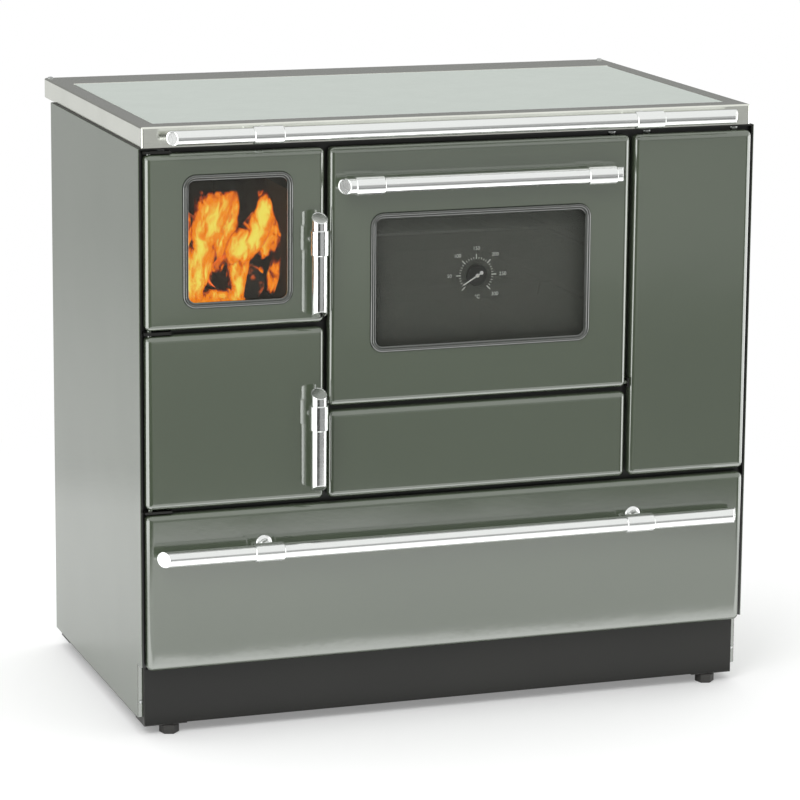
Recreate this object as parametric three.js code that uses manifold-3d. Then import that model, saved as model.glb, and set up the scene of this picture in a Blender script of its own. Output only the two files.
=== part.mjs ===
// A wood cookstove, 900 mm wide: enamelled body, firebox and ash box on the left, oven in the middle,
// fixed cover on the right, fuel drawer below and a steel hob on top. Millimetres, +Z up, front at -Y.
// Sizes are laid out with Y = 0 on the front edges of the side panels and Z = 0 on the floor.
import * as THREE from "three";
import { mergeVertices } from "three/addons/utils/BufferGeometryUtils.js";
import Module from "manifold-3d";

const wasm = await Module();
wasm.setup();

// ---------- driving dimensions ----------

const bodyWidth = 900;
const bodyDepth = 497;
const hobHeight = 850;
const seatGap = 0.3; // between pieces that rest on, or fit in, each other
const enamelSheet = 1.5; // side panels
const panSheet = 2; // door pans, covers and the black front frame
const frameSheet = 3; // carcass, firebox and oven
const innerCornerRadius = 4;

// front layout: shadow gaps between the enamelled fronts
const sideMargin = 7;
const columnGap = 7;
const rowGap = 7;
const topGap = 7.6;
const leftColumnWidth = 252.5;
const rightColumnWidth = 178;
const drawerBottom = 98;
const drawerHeight = 220;
const ashDoorHeight = 241.5;
const lowerCoverHeight = 123;

// door and cover pans
const panProud = 10; // face in front of the side panels' edges
const frameRecess = 8; // black frame plate behind those edges
const panDepth = 14;
const rimRadius = 6;
const rimCorner = 7;

// side panels and plinth
const sidePanelBottom = 25;
const kickHeight = 102;
const kickSetback = 21;
const kickFlange = 7.4;
const plinthEndInset = 8.5; // from the body's sides
const plinthSetback = 12.4;
const plinthBottom = 15;
const plinthTop = 96;
const plinthLip = 5;

// carcass
const baseDeckTop = 61;
const postLeg = 26;
const postFlange = 8;
const topFlangeWidth = 18;
const bracketWidth = 48;
const bracketThickness = 2;
const ovenWallInset = 9; // upright walls under the oven, inside its mouth

// feet
const footSideInset = 45; // axis from the body's side
const footInset = 22.5; // from the front panel edges
const footRearInset = 27; // from the back panel
const footAcrossFlats = 24;
const footStudRadius = 4;
const footStudLength = 38;

// hob
const hobFrameWidth = 890;
const hobFrameOverhang = 60.5; // behind the back panel
const hobFrameHeight = 28.4;
const hobFrameSetback = 2.5;
const hobSideStrip = 25;
const hobFrontStrip = 33.5;
const hobBackStrip = 80;
const hobPlateThickness = 8;
const hobPlateChamfer = 1.2;
const hobLedgeWidth = 14;
const hobSealHeight = 4;
const hobSealWidth = 9;

// towel rail and bar handles
const railLength = 821;
const railRadius = 10;
const railDrop = 12; // axis below the hob
const railReach = 30.5; // axis in front of the hob frame
const railPostSpacing = 554;
const handleRadius = 11;
const handleReach = 24; // axis in front of the enamel
const sleeveWall = 1.7;
const sleeveLength = 42;
const postRadius = 7;
const rosetteRadius = 12;
const rosetteThickness = 3;
const barEndSlant = Math.PI / 6; // the ends are turned toward the front
const handleOffset = -3; // of both handles, from the middle of their fronts
const ovenHandleLength = 409;
const ovenHandlePostSpacing = 340;
const ovenHandleDrop = 50; // below the top of the oven door
const ovenPostRise = -4; // the oven's posts stand below the bar's axis
const drawerHandleLength = 847;
const drawerHandlePostSpacing = 549;
const drawerHandleDrop = 56;
const drawerPostRise = 7; // and the drawer's above it

// door latches: a hanging tube on a turning spindle
const latchInset = 15.5; // spindle from the door's free edge
const latchDrop = 5; // spindle below the middle of the door
const latchTubeRadius = 11;
const latchAbove = 34;
const latchBelow = 100;
const latchSleeveLength = 35;
const latchSleeveWall = 2;
const spindleRadius = 5;
const spindleHole = 5.4;
const tongueLength = 10.5;
const tongueHeight = 6;
const tongueThickness = 4;
const keeperSlotWidth = 20.5;
const keeperSlotHeight = 34;
const keeperClearance = 1.5; // tongue tip to the slot's edge

// hinges
const hingeInset = 6.5; // axis from the door's edge
const hingeDepth = 8; // axis behind the enamel face
const hingePinRadius = 3;
const hingeLugThickness = 3;
const hingeLugLength = 38;
const ovenHingeInset = 6;
const ovenHingeDepth = 6;
const ovenPinRadius = 2.5;
const ovenLugThickness = 2.5;
const ovenLugHeight = 12;

// windows
const fireWindowShift = 3; // window centre to the right of the door's centre
const fireWindowWidth = 154.6;
const fireWindowMargin = 29.1; // window inside the door's top and bottom edges
const ovenWindowSide = 58.9; // window inside the door's ends
const ovenWindowSill = 71.75; // above the door's bottom edge
const ovenWindowHead = 92.75; // below its top edge
const windowCorner = 18;
const trimWidth = 6;
const trimProud = 2.5;
const glassThickness = 4;
const sealWidth = 7;

// fire and ash chambers
const chamberOpeningMargin = 22.5; // opening inside the door's edge, hinge side
const chamberKeeperMargin = 34; // opening inside the door's edge, latch side
const fireOpeningSill = 14; // opening inside the door's top and bottom edges
const ashOpeningSill = 11;
const chamberRearGap = 27.9; // in front of the carcass's back
const fireboxTopDrop = 52; // firebox top below the hob
const brickThickness = 28;
const brickFrontInset = 10;
const brickTopDrop = 30; // below the firebox top
const gasPassHeight = 46; // lowered right wall, where the gases pass over the oven
const grateWidth = 178;
const grateFrontInset = 50; // from the chamber's front
const grateRearInset = 76.5;
const grateThickness = 18;
const grateSlots = 11;
const grateSlotWidth = 12;
const grateRest = 8;
const ashPanClearance = 4;
const ashPanHeight = 80;
const ashPanSheet = 2;
const ashPanFrontInset = 14;
const ashPanRearInset = 30;
const ashGripWidth = 90;
const ashGripRise = 10; // above the pan's middle
const ashGripRadius = 3;

// oven
const ovenMouthSide = 45.75; // mouth inside the oven door's ends
const ovenMouthSill = 23; // above the door's bottom edge
const ovenMouthHead = 71; // below its top edge
const ovenRearGap = 27.9; // in front of the carcass's back
const runnerHeadroom = 7; // more space above the top level than between levels
const runnerFirst = 24;
const runnerLevels = 3;
const runnerWidth = 7;
const runnerFrontInset = 29; // from the oven's mouth
const runnerRearInset = 8; // from its back wall
const shelfDepth = 300;
const shelfSideClearance = 3.5;
const shelfBackClearance = 8;
const gridFrameRadius = 3;
const gridWireRadius = 1.6;
const gridWires = 15;
const trayHeight = 22;
const trayRim = 8.5;
const traySheet = 1.5;
const trayFlare = 5;
const ovenFlangeInset = 5; // front of the inner panel's flange, inside the pan's back
const plugClearance = 7.5;
const plugDepth = 26; // inner door panel behind the front sheet
const dialHubRadius = 15;
const dialHubDepth = 4.7;
const needleLength = 24;
const needleTail = 7;
const needleWidth = 2.2;
const needleTailRadius = 2.6;
const needleThickness = 1;
const needleBearing = 14; // degrees clockwise of the scale's zero mark, which is at lower left

// air slide on the ash door
const airSlotCount = 4;
const airSlotPitch = 34; // the slide closes its slots when it moves by half of this
const airSlotWidth = 14;
const airSlotHeight = 40;
const airSlotDrop = 40; // slots' centre below the door's middle
const airSlideMargin = 8;
const airKnobRadius = 3.5;

// fuel drawer
const drawerOpeningSide = 14.5; // opening inside the drawer front's ends
const drawerOpeningSill = 14;
const binSideClearance = 23;
const binBottomClearance = 10;
const binHeight = 168;
const binDepth = 440;
const binSheet = 2;
const rollerRadius = 11;
const rollerWidth = 13;
const rollerFrontY = 30;
const rollerRearInset = 20;
const rollerAxleRadius = 3;
const rollerInset = 14; // roller centre inside the bin's side wall

// flue
const flueRadius = 59; // collar for a 120 mm pipe
const flueFlangeRadius = 75;
const flueWall = 2;
const flueInset = 70; // collar's axis from the right cover's left edge
const flueDrop = 138; // collar's axis below the hob
const flueReach = 63; // beyond the back panel
const flueBoxDepth = 190;
const flueBoxInset = 14; // from the carcass's back
const flueBoxMargin = 3;
const flueBoxOverhang = 22; // past the right cover's left edge
const flueBoxSideInset = 8; // inside its right edge

// facets
const barSides = 20;
const rodSides = 10;
const pinSides = 16;
const cornerSteps = 3;
const rimSteps = 2;

// ---------- derived places ----------

const halfBody = bodyWidth / 2;
const carcassHalf = halfBody - enamelSheet - seatGap;
const hobUnderside = hobHeight - hobFrameHeight;
const bodyTop = hobUnderside - seatGap;
const fronts = -panProud;
const framePlate = frameRecess;
const frameBack = framePlate + panSheet;
const insideFront = frameBack + seatGap;
const backPanelFront = bodyDepth - panSheet;
const carcassBack = backPanelFront - seatGap;
const baseHalf = halfBody - kickFlange - seatGap;
const footX = halfBody - footSideInset;
const shelfDeckTop = drawerBottom + drawerHeight + frameSheet;
const frontTop = hobUnderside - topGap;
const handleY = fronts - handleReach;

const leftColumn = [-halfBody + sideMargin, -halfBody + sideMargin + leftColumnWidth];
const rightColumn = [halfBody - sideMargin - rightColumnWidth, halfBody - sideMargin];
const ovenColumn = [leftColumn[1] + columnGap, rightColumn[0] - columnGap];
const drawerRow = [drawerBottom, drawerBottom + drawerHeight];
const ashRow = [drawerRow[1] + rowGap, drawerRow[1] + rowGap + ashDoorHeight];
const fireRow = [ashRow[1] + rowGap, frontTop];
const lowerRow = [ashRow[0], ashRow[0] + lowerCoverHeight];
const ovenRow = [lowerRow[1] + rowGap, frontTop];
const coverRow = [ashRow[0], frontTop];

const middle = ([low, high]) => (low + high) / 2;
const around = (centre, width) => [centre - width / 2, centre + width / 2];
const inside = ([low, high], margin) => [low + margin, high - margin];

const ovenCentreX = middle(ovenColumn);
const ovenMouthX = inside(ovenColumn, ovenMouthSide);
const ovenMouthZ = [ovenRow[0] + ovenMouthSill, ovenRow[1] - ovenMouthHead];
const ovenBack = carcassBack - ovenRearGap;
const fireWindow = {
  x: around(middle(leftColumn) + fireWindowShift, fireWindowWidth),
  z: inside(fireRow, fireWindowMargin),
};
const ovenWindow = {
  x: inside(ovenColumn, ovenWindowSide),
  z: [ovenRow[0] + ovenWindowSill, ovenRow[1] - ovenWindowHead],
};

const chamberX = [-baseHalf + frameSheet + seatGap, leftColumn[1] + 1];
const openingX = [leftColumn[0] + chamberOpeningMargin, leftColumn[1] - chamberKeeperMargin];
const fireOpening = { x: openingX, z: inside(fireRow, fireOpeningSill) };
const ashOpening = { x: openingX, z: inside(ashRow, ashOpeningSill) };
const chamberBack = carcassBack - chamberRearGap;
const ashFloor = ashOpening.z[0];
const fireFloor = (fireRow[0] + ashRow[1]) / 2 - frameSheet;
const fireboxTop = hobHeight - fireboxTopDrop;
const grateX = around(middle(chamberX), grateWidth);
const grateY = [insideFront + grateFrontInset, chamberBack - grateRearInset];

const latchX = leftColumn[1] - latchInset;
const hingeX = leftColumn[0] + hingeInset;
const hingeY = fronts + hingeDepth;
const ovenHingeY = fronts + ovenHingeDepth;
const ovenHingeZ = ovenRow[0] + ovenHingeInset;

const drawerOpening = {
  x: inside([leftColumn[0], rightColumn[1]], drawerOpeningSide),
  z: inside(drawerRow, drawerOpeningSill),
};
const binX = inside(drawerOpening.x, binSideClearance);
const binZ = [drawerOpening.z[0] + binBottomClearance, drawerOpening.z[0] + binBottomClearance + binHeight];
const binFront = fronts + panSheet + seatGap;
const binBack = binFront + binDepth;
const rollerZ = binZ[0] - seatGap - rollerRadius;
const rollerRearY = binBack - rollerRearInset;
const rollerCentreX = binX[1] - rollerInset;
const railTop = rollerZ - rollerRadius - seatGap;

const flueX = rightColumn[0] + flueInset;
const flueHeight = hobHeight - flueDrop;
const flueBoxX = [rightColumn[0] - flueBoxOverhang, rightColumn[1] - flueBoxSideInset];
const flueBoxBack = carcassBack - flueBoxInset;

// ---------- solids ----------

const joined = (parts) => parts.reduce((whole, part) => whole.add(part));
const cut = (body, ...tools) => body.subtract(joined(tools));

function solid(geometry) {
  geometry.deleteAttribute("normal");
  geometry.deleteAttribute("uv");
  const merged = mergeVertices(geometry, 1e-4);
  return new wasm.Manifold(
    new wasm.Mesh({
      numProp: 3,
      vertProperties: new Float32Array(merged.attributes.position.array),
      triVerts: new Uint32Array(merged.index.array),
    }),
  );
}

function geometryOf(body) {
  const { numProp, vertProperties, triVerts } = body.getMesh();
  const positions = new Float32Array(triVerts.length * 3);
  triVerts.forEach((vertex, i) => {
    positions.set(vertProperties.subarray(vertex * numProp, vertex * numProp + 3), i * 3);
  });
  const geometry = new THREE.BufferGeometry();
  geometry.setAttribute("position", new THREE.BufferAttribute(positions, 3));
  geometry.computeVertexNormals();
  return geometry;
}

function cuboid([x0, x1], [y0, y1], [z0, z1]) {
  const box = new THREE.BoxGeometry(x1 - x0, y1 - y0, z1 - z0);
  return solid(box.translate((x0 + x1) / 2, (y0 + y1) / 2, (z0 + z1) / 2));
}

// A round bar along one axis, from one coordinate to the other, through the given point.
function rodGeometry(axis, [from, to], [x, y, z], radius, sides) {
  const round = new THREE.CylinderGeometry(radius, radius, to - from, sides);
  const centre = (from + to) / 2;
  if (axis === "x") return round.rotateZ(-Math.PI / 2).translate(centre, y, z);
  if (axis === "y") return round.translate(x, centre, z);
  return round.rotateX(Math.PI / 2).translate(x, y, centre);
}

function rod(axis, span, place, radius, sides = rodSides) {
  return solid(rodGeometry(axis, span, place, radius, sides));
}

function roundedOutline([x0, x1], [z0, z1], radius) {
  const quarter = Math.PI / 2;
  const outline = new THREE.Shape();
  outline.absarc(x1 - radius, z1 - radius, radius, 0, quarter, false);
  outline.absarc(x0 + radius, z1 - radius, radius, quarter, 2 * quarter, false);
  outline.absarc(x0 + radius, z0 + radius, radius, 2 * quarter, 3 * quarter, false);
  outline.absarc(x1 - radius, z0 + radius, radius, 3 * quarter, 4 * quarter, false);
  return outline;
}

// A plate with round corners, its outline in X and Z, from y0 to y1 in Y.
function plate(x, z, [y0, y1], corner) {
  const sheet = new THREE.ExtrudeGeometry(roundedOutline(x, z, corner), {
    depth: y1 - y0,
    bevelEnabled: false,
    curveSegments: cornerSteps,
  });
  return solid(sheet.rotateX(Math.PI / 2).translate(0, y1, 0));
}

// The same plate with its front edge rolled to a radius.
function rolledPlate(x, z, [y0, y1], corner, edge, steps = rimSteps) {
  const sheet = new THREE.ExtrudeGeometry(roundedOutline(x, z, corner), {
    depth: y1 - y0 - edge,
    bevelEnabled: true,
    bevelThickness: edge,
    bevelSize: edge,
    bevelOffset: -edge,
    bevelSegments: steps,
    curveSegments: cornerSteps,
  });
  const whole = solid(sheet.rotateX(Math.PI / 2).translate(0, y1, 0));
  return whole.intersect(cuboid(inside(x, -1), [y0 - 1, y1], inside(z, -1)));
}

// A frame of constant width round a rectangular hole.
function ring(x, z, y, corner, width) {
  const hole = plate(inside(x, width), inside(z, width), inside(y, -1), corner - width / 2);
  return cut(plate(x, z, y, corner), hole);
}

// An enamelled pan: rolled front edges, folded walls, open at the back.
function pan(x, z, back) {
  const hollow = rolledPlate(
    inside(x, panSheet),
    inside(z, panSheet),
    [fronts + panSheet, back + 1],
    rimCorner - panSheet,
    rimRadius - panSheet,
    1,
  );
  return cut(rolledPlate(x, z, [fronts, back], rimCorner, rimRadius), hollow);
}

// A box that is open on the sides it is told to leave out.
function openBox(x, y, z, sheet, open) {
  const grow = { x: [0, 0], y: [0, 0], z: [0, 0], ...open };
  const hollowed = (span, [low, high]) => [
    span[0] + (low ? -1 : sheet),
    span[1] + (high ? 1 : -sheet),
  ];
  return cut(cuboid(x, y, z), cuboid(hollowed(x, grow.x), hollowed(y, grow.y), hollowed(z, grow.z)));
}

const mirrored = (make) => [make(-1), make(1)];
const onSide = (side, [near, far]) => (side < 0 ? [-far, -near] : [near, far]);

// ---------- materials ----------

const look = (color, roughness, metalness) => ({ color, roughness, metalness });
const enamel = look(0x6f786a, 0.18, 0.1);
const blackEnamel = look(0x1a1a19, 0.4, 0.2);
const stainless = look(0xc9cbc7, 0.3, 0.9);
const groundSteel = look(0xc2c8c2, 0.25, 0.85);
const chrome = look(0xdcdddd, 0.12, 1);
const zinc = look(0xb9bbb8, 0.4, 0.8);
const castIron = look(0x3a3a3b, 0.8, 0.4);
const darkSteel = look(0x3c3e3d, 0.55, 0.6);
const ovenEnamel = look(0x2e3230, 0.3, 0.2);
const fireclay = look(0xcdbb98, 0.95, 0);
const rope = look(0x77746c, 1, 0);
const glass = look(0x30332f, 0.05, 0);
const white = look(0xf2f2ee, 0.5, 0);
const plastic = look(0x202020, 0.5, 0);

// ---------- carcass, panels and feet ----------

function carcass() {
  const baseZ = [plinthBottom, baseDeckTop];
  const baseY = [plinthSetback + panSheet + seatGap, carcassBack];
  const baseX = [-baseHalf, baseHalf];
  const tray = openBox(baseX, baseY, baseZ, frameSheet, { z: [1, 0] });
  const deck = cuboid(baseX, [insideFront, carcassBack], [shelfDeckTop - frameSheet, shelfDeckTop]);
  const topFlange = cut(
    cuboid([-carcassHalf, carcassHalf], [insideFront, carcassBack], [bodyTop - frameSheet, bodyTop]),
    cuboid(
      inside([-carcassHalf, carcassHalf], topFlangeWidth),
      inside([insideFront, carcassBack], topFlangeWidth),
      [bodyTop - 2 * frameSheet, bodyTop + 1],
    ),
  );
  const kickSpace = cuboid(baseX, [insideFront - 1, baseY[0]], [baseDeckTop - 5, kickHeight + seatGap]);
  const posts = mirrored((side) => joined([
    cut(cornerPost(side, [insideFront, insideFront + postLeg], insideFront), kickSpace),
    cornerPost(side, [carcassBack - postLeg, carcassBack], carcassBack - frameSheet),
  ]));
  const body = joined([tray, deck, topFlange, ...posts, ...mirrored(ovenWall)]);
  const brackets = mirrored((side) => joined([
    footBracket(side, baseY[0], baseY[0] + bracketWidth),
    footBracket(side, baseY[1] - bracketWidth, baseY[1]),
  ]));
  const studs = mirrored((side) => joined(footPlaces().map((y) => footHole(side, y))));
  const runners = mirrored((side) => drawerRunner(side));
  return cut(joined([body, ...brackets, ...runners]), ...studs);
}

const footPlaces = () => [footInset, bodyDepth - footRearInset];

function cornerPost(side, legY, flangeY) {
  const leg = onSide(side, [baseHalf - frameSheet, baseHalf]);
  const flange = onSide(side, [carcassHalf - postFlange, carcassHalf]);
  return joined([
    cuboid(leg, legY, [baseDeckTop - frameSheet, bodyTop]),
    cuboid(flange, [flangeY, flangeY + frameSheet], [kickHeight + seatGap, bodyTop]),
  ]);
}

// The oven stands on two upright walls on the deck.
function ovenWall(side) {
  const x = side < 0 ? ovenMouthX[0] + ovenWallInset : ovenMouthX[1] - ovenWallInset;
  const top = ovenMouthZ[0] - frameSheet - seatGap;
  return cuboid(
    around(x, frameSheet),
    [insideFront + 10, ovenBack - 10],
    [shelfDeckTop - 1, top],
  );
}

function footBracket(side, front, back) {
  const x = onSide(side, [footX - bracketWidth / 2, baseHalf]);
  return cuboid(x, [front, back], [plinthBottom - bracketThickness, plinthBottom + 1]);
}

function footHole(side, y) {
  const z = [plinthBottom - bracketThickness - 1, plinthBottom + 2];
  return rod("z", z, [side * footX, y, 0], footStudRadius + seatGap, pinSides);
}

// A runner for the drawer: a ledge for its rear roller, and a bracket and axle for the front roller.
function drawerRunner(side) {
  const outer = rollerCentreX + rollerWidth / 2 + 1;
  const web = onSide(side, [outer, outer + frameSheet]);
  const ledge = onSide(side, [outer - rollerWidth - 2, outer + frameSheet]);
  const ledgeY = [rollerFrontY + 2 * rollerRadius, carcassBack - 1];
  const bracketY = [rollerFrontY - rollerRadius, rollerFrontY + rollerRadius];
  const axle = onSide(side, [rollerCentreX - rollerWidth / 2, outer + 1]);
  return joined([
    cuboid(web, [bracketY[0], ledgeY[1]], [baseDeckTop - 1, railTop]),
    cuboid(ledge, ledgeY, [railTop - frameSheet, railTop]),
    cuboid(web, bracketY, [baseDeckTop - 1, rollerZ + 2 * rollerAxleRadius]),
    rod("x", axle, [0, rollerFrontY, rollerZ], rollerAxleRadius),
  ]);
}

function foot(side, y) {
  const hexRadius = footAcrossFlats / 2 / Math.cos(Math.PI / 6);
  const hexTop = plinthBottom - bracketThickness - seatGap;
  const place = [side * footX, y, 0];
  return joined([
    rod("z", [0, hexTop], place, hexRadius, 6),
    rod("z", [hexTop - 1, hexTop + footStudLength], place, footStudRadius, pinSides),
  ]);
}

function frontFrame() {
  const x = [-carcassHalf, carcassHalf];
  const z = [kickHeight + seatGap, bodyTop];
  const tray = cut(
    cuboid(x, [seatGap, frameBack], z),
    cuboid(inside(x, panSheet), [-1, framePlate], [z[0] - 1, z[1] - panSheet]),
  );
  const holes = [fireOpening, ashOpening, drawerOpening, { x: ovenMouthX, z: ovenMouthZ }].map(
    (opening) => plate(opening.x, opening.z, [framePlate - 1, frameBack + 1], innerCornerRadius),
  );
  return joined([cut(tray, ...holes, ...keeperSlots()), ...doorHingeLugs(), ...ovenHingeLugs()]);
}

const latchHeights = () => [middle(fireRow) - latchDrop, middle(ashRow)];

function keeperSlots() {
  const tip = latchX + tongueLength;
  const x = [tip + keeperClearance - keeperSlotWidth, tip + keeperClearance];
  return latchHeights().map((height) =>
    plate(x, around(height - 2, keeperSlotHeight), [framePlate - 1, frameBack + 1], 2),
  );
}

// Each lug is a welded ear with a hole for a door's pin, in the gap above, between or below the doors.
function doorHingeLugs() {
  const levels = [
    bodyTop - panSheet - 1.2 - hingeLugThickness,
    middle([ashRow[1], fireRow[0]]) - hingeLugThickness / 2 - 0.5,
    middle([drawerRow[1], ashRow[0]]) - hingeLugThickness / 2,
  ];
  const heights = [hingeLugThickness, hingeLugThickness + 1, hingeLugThickness];
  const x = [hingeX - hingeInset - 2, hingeX - hingeInset - 2 + hingeLugLength];
  return levels.map((level, i) => {
    const z = [level, level + heights[i]];
    const hole = rod("z", inside(z, -1), [hingeX, hingeY, 0], hingePinRadius + seatGap, pinSides);
    return cut(cuboid(x, [hingeY - hingePinRadius - 3, framePlate + 1], z), hole);
  });
}

function ovenHingeLugs() {
  const z = around(ovenHingeZ, ovenLugHeight);
  return ovenLugPlaces().map((x) => {
    const hole = rod("x", inside(x, -1), [0, ovenHingeY, ovenHingeZ], ovenPinRadius + seatGap, pinSides);
    return cut(cuboid(x, [ovenHingeY - ovenPinRadius - 2.5, framePlate + 1], z), hole);
  });
}

const ovenLugPlaces = () => [
  around(middle([leftColumn[1], ovenColumn[0]]) + 0.4, ovenLugThickness),
  around(middle([ovenColumn[1], rightColumn[0]]), ovenLugThickness),
];

function sidePanel(side) {
  const skin = onSide(side, [halfBody - enamelSheet, halfBody]);
  const flange = onSide(side, [halfBody - kickFlange, halfBody]);
  const upper = cuboid(skin, [0, bodyDepth], [sidePanelBottom, bodyTop]);
  const kick = cuboid(
    onSide(side, [halfBody - 2 * enamelSheet, halfBody + 1]),
    [-1, kickSetback],
    [sidePanelBottom - 1, kickHeight],
  );
  const kickFace = cuboid(
    flange,
    [kickSetback, kickSetback + enamelSheet],
    [sidePanelBottom, kickHeight],
  );
  return joined([cut(upper, kick), kickFace]);
}

function backPanel() {
  const x = inside([-halfBody, halfBody], enamelSheet + seatGap);
  const hole = rod(
    "y",
    [backPanelFront - 1, bodyDepth + 1],
    [flueX, 0, flueHeight],
    flueRadius + 1,
    barSides * 2,
  );
  return cut(cuboid(x, [backPanelFront, bodyDepth], [sidePanelBottom, bodyTop]), hole);
}

function plinthPanel() {
  const x = inside([-halfBody, halfBody], plinthEndInset);
  const face = cuboid(x, [plinthSetback, plinthSetback + panSheet], [plinthBottom, plinthTop]);
  const lip = cuboid(
    inside(x, plinthLip),
    [plinthSetback, plinthSetback + plinthLip],
    [plinthTop - panSheet, plinthTop],
  );
  return joined([face, lip]);
}

// ---------- hob, frame and rail ----------

const hobX = [-hobFrameWidth / 2, hobFrameWidth / 2];
const hobY = [hobFrameSetback, bodyDepth + hobFrameOverhang];
const hobOpeningX = inside(hobX, hobSideStrip);
const hobOpeningY = [hobY[0] + hobFrontStrip, hobY[1] - hobBackStrip];
const plateBottom = hobHeight - seatGap - hobPlateThickness;
const ledgeTop = plateBottom - 2 * seatGap - hobSealHeight;

// Folded stainless frame: top strips, outer skirt, and a web and ledge that carry the hob plate.
function hobFrame() {
  const block = cuboid(hobX, hobY, [hobUnderside, hobHeight]);
  const under = cuboid(
    inside(hobX, frameSheet),
    inside(hobY, frameSheet),
    [hobUnderside - 1, hobHeight - frameSheet],
  );
  const collar = cuboid(
    inside(hobOpeningX, -frameSheet),
    inside(hobOpeningY, -frameSheet),
    [ledgeTop - frameSheet, hobHeight - 1],
  );
  const opening = cuboid(hobOpeningX, hobOpeningY, [ledgeTop, hobHeight + 1]);
  const through = cuboid(
    inside(hobOpeningX, hobLedgeWidth),
    inside(hobOpeningY, hobLedgeWidth),
    [ledgeTop - 2 * frameSheet, hobHeight + 1],
  );
  return cut(joined([cut(block, under), collar]), opening, through);
}

function hobPlate() {
  const x = inside(hobOpeningX, 0.5);
  const y = inside(hobOpeningY, 0.5);
  const slab = new THREE.ExtrudeGeometry(roundedOutline(x, y, innerCornerRadius), {
    depth: hobPlateThickness - 2 * hobPlateChamfer,
    bevelEnabled: true,
    bevelThickness: hobPlateChamfer,
    bevelSize: hobPlateChamfer,
    bevelOffset: -hobPlateChamfer,
    bevelSegments: 1,
    curveSegments: cornerSteps,
  });
  return solid(slab.translate(0, 0, plateBottom + hobPlateChamfer));
}

function hobSeal() {
  const x = inside(hobOpeningX, 2);
  const y = inside(hobOpeningY, 2);
  const z = [ledgeTop + seatGap, plateBottom - seatGap];
  return cut(
    cuboid(x, y, z),
    cuboid(inside(x, hobSealWidth), inside(y, hobSealWidth), inside(z, -1)),
  );
}

// A round bar whose ends are cut at a slant and turned toward the front, so that its back is longest.
function bar(axis, span, place, radius) {
  const body = rodGeometry(axis, span, place, radius, barSides);
  const points = body.getAttribute("position");
  const along = axis === "x" ? 0 : 2;
  for (let corner = 0; corner < points.count; corner += 1) {
    const reach = points.getComponent(corner, along);
    const lean = (points.getY(corner) - place[1]) * Math.tan(barEndSlant);
    points.setComponent(corner, along, reach + Math.sign(reach - middle(span)) * lean);
  }
  return solid(body);
}

// A sleeve round a bar and the post that carries it, with a rosette where the post meets the face.
function barBracket(x, y, z, radius, faceY, rise, rosette) {
  const sleeveX = around(x, sleeveLength);
  const sleeve = rod("x", sleeveX, [0, y, z], radius + sleeveWall + seatGap, barSides);
  const bore = rod("x", inside(sleeveX, -1), [0, y, z], radius + seatGap, barSides);
  const post = rod("y", [y, faceY - seatGap], [x, 0, z + rise], postRadius, rodSides);
  const foot = rod(
    "y",
    [faceY - seatGap - rosetteThickness, faceY - seatGap],
    [x, 0, z + rise],
    rosette,
    barSides,
  );
  return cut(joined([sleeve, post, foot]), bore);
}

const railY = hobFrameSetback - railReach;
const railZ = hobHeight - railDrop;

function railBar() {
  return bar("x", [-railLength / 2, railLength / 2], [0, railY, railZ], railRadius);
}

function railBracket(side) {
  const x = (side * railPostSpacing) / 2;
  return barBracket(x, railY, railZ, railRadius, hobFrameSetback, 0, postRadius + 2);
}

// ---------- firebox, grate and ash box ----------

const brickTop = fireboxTop - brickTopDrop;
const shellFloor = [fireFloor, fireFloor + frameSheet];

function fireboxShell() {
  const shell = openBox(
    chamberX,
    [insideFront, chamberBack],
    [fireFloor, fireboxTop],
    frameSheet,
    { y: [1, 0], z: [0, 1] },
  );
  const gasPass = cuboid(
    [chamberX[1] - 2 * frameSheet, chamberX[1] + 1],
    [insideFront - 1, chamberBack - frameSheet],
    [fireboxTop - gasPassHeight, fireboxTop + 1],
  );
  const ashFall = cuboid(
    inside(grateX, grateRest),
    inside(grateY, grateRest),
    inside(shellFloor, -1),
  );
  return cut(shell, gasPass, ashFall);
}

function firebrickSide(side) {
  const near = side < 0 ? chamberX[0] + frameSheet + seatGap : chamberX[1] - frameSheet - seatGap;
  const x = side < 0 ? [near, near + brickThickness] : [near - brickThickness, near];
  const top = side < 0 ? brickTop : fireboxTop - gasPassHeight - 4;
  return cuboid(
    x,
    [insideFront + brickFrontInset, chamberBack - frameSheet - seatGap],
    [shellFloor[1] + seatGap, top],
  );
}

function firebrickRear() {
  const back = chamberBack - frameSheet - seatGap;
  const x = inside(chamberX, frameSheet + 2 * seatGap + brickThickness);
  return cuboid(x, [back - brickThickness, back], [shellFloor[1] + seatGap, brickTop]);
}

// Cast grate: a slab with a row of slots that widen downwards, so that ash can't wedge in them.
function grate() {
  const z = [shellFloor[1] + seatGap, shellFloor[1] + seatGap + grateThickness];
  const slab = cuboid(grateX, grateY, z);
  const pitch = (grateY[1] - grateY[0] - 2 * grateSlotWidth) / grateSlots;
  const slotX = inside(grateX, 2 * grateRest);
  const slots = Array.from({ length: grateSlots }, (_, i) => {
    const y = grateY[0] + grateSlotWidth + pitch * (i + 0.5);
    return taperedSlot(slotX, y, z);
  });
  return cut(slab, ...slots);
}

function taperedSlot(x, y, z) {
  const narrow = grateSlotWidth / 2 - 1.5;
  const wide = grateSlotWidth / 2 + 1.5;
  const section = new THREE.Shape([
    new THREE.Vector2(y - wide, z[0] - 1),
    new THREE.Vector2(y + wide, z[0] - 1),
    new THREE.Vector2(y + narrow, z[1] + 1),
    new THREE.Vector2(y - narrow, z[1] + 1),
  ]);
  const prism = new THREE.ExtrudeGeometry(section, { depth: x[1] - x[0], bevelEnabled: false });
  return solid(prism.rotateX(Math.PI / 2).rotateZ(Math.PI / 2).translate(x[0], 0, 0));
}

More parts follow.
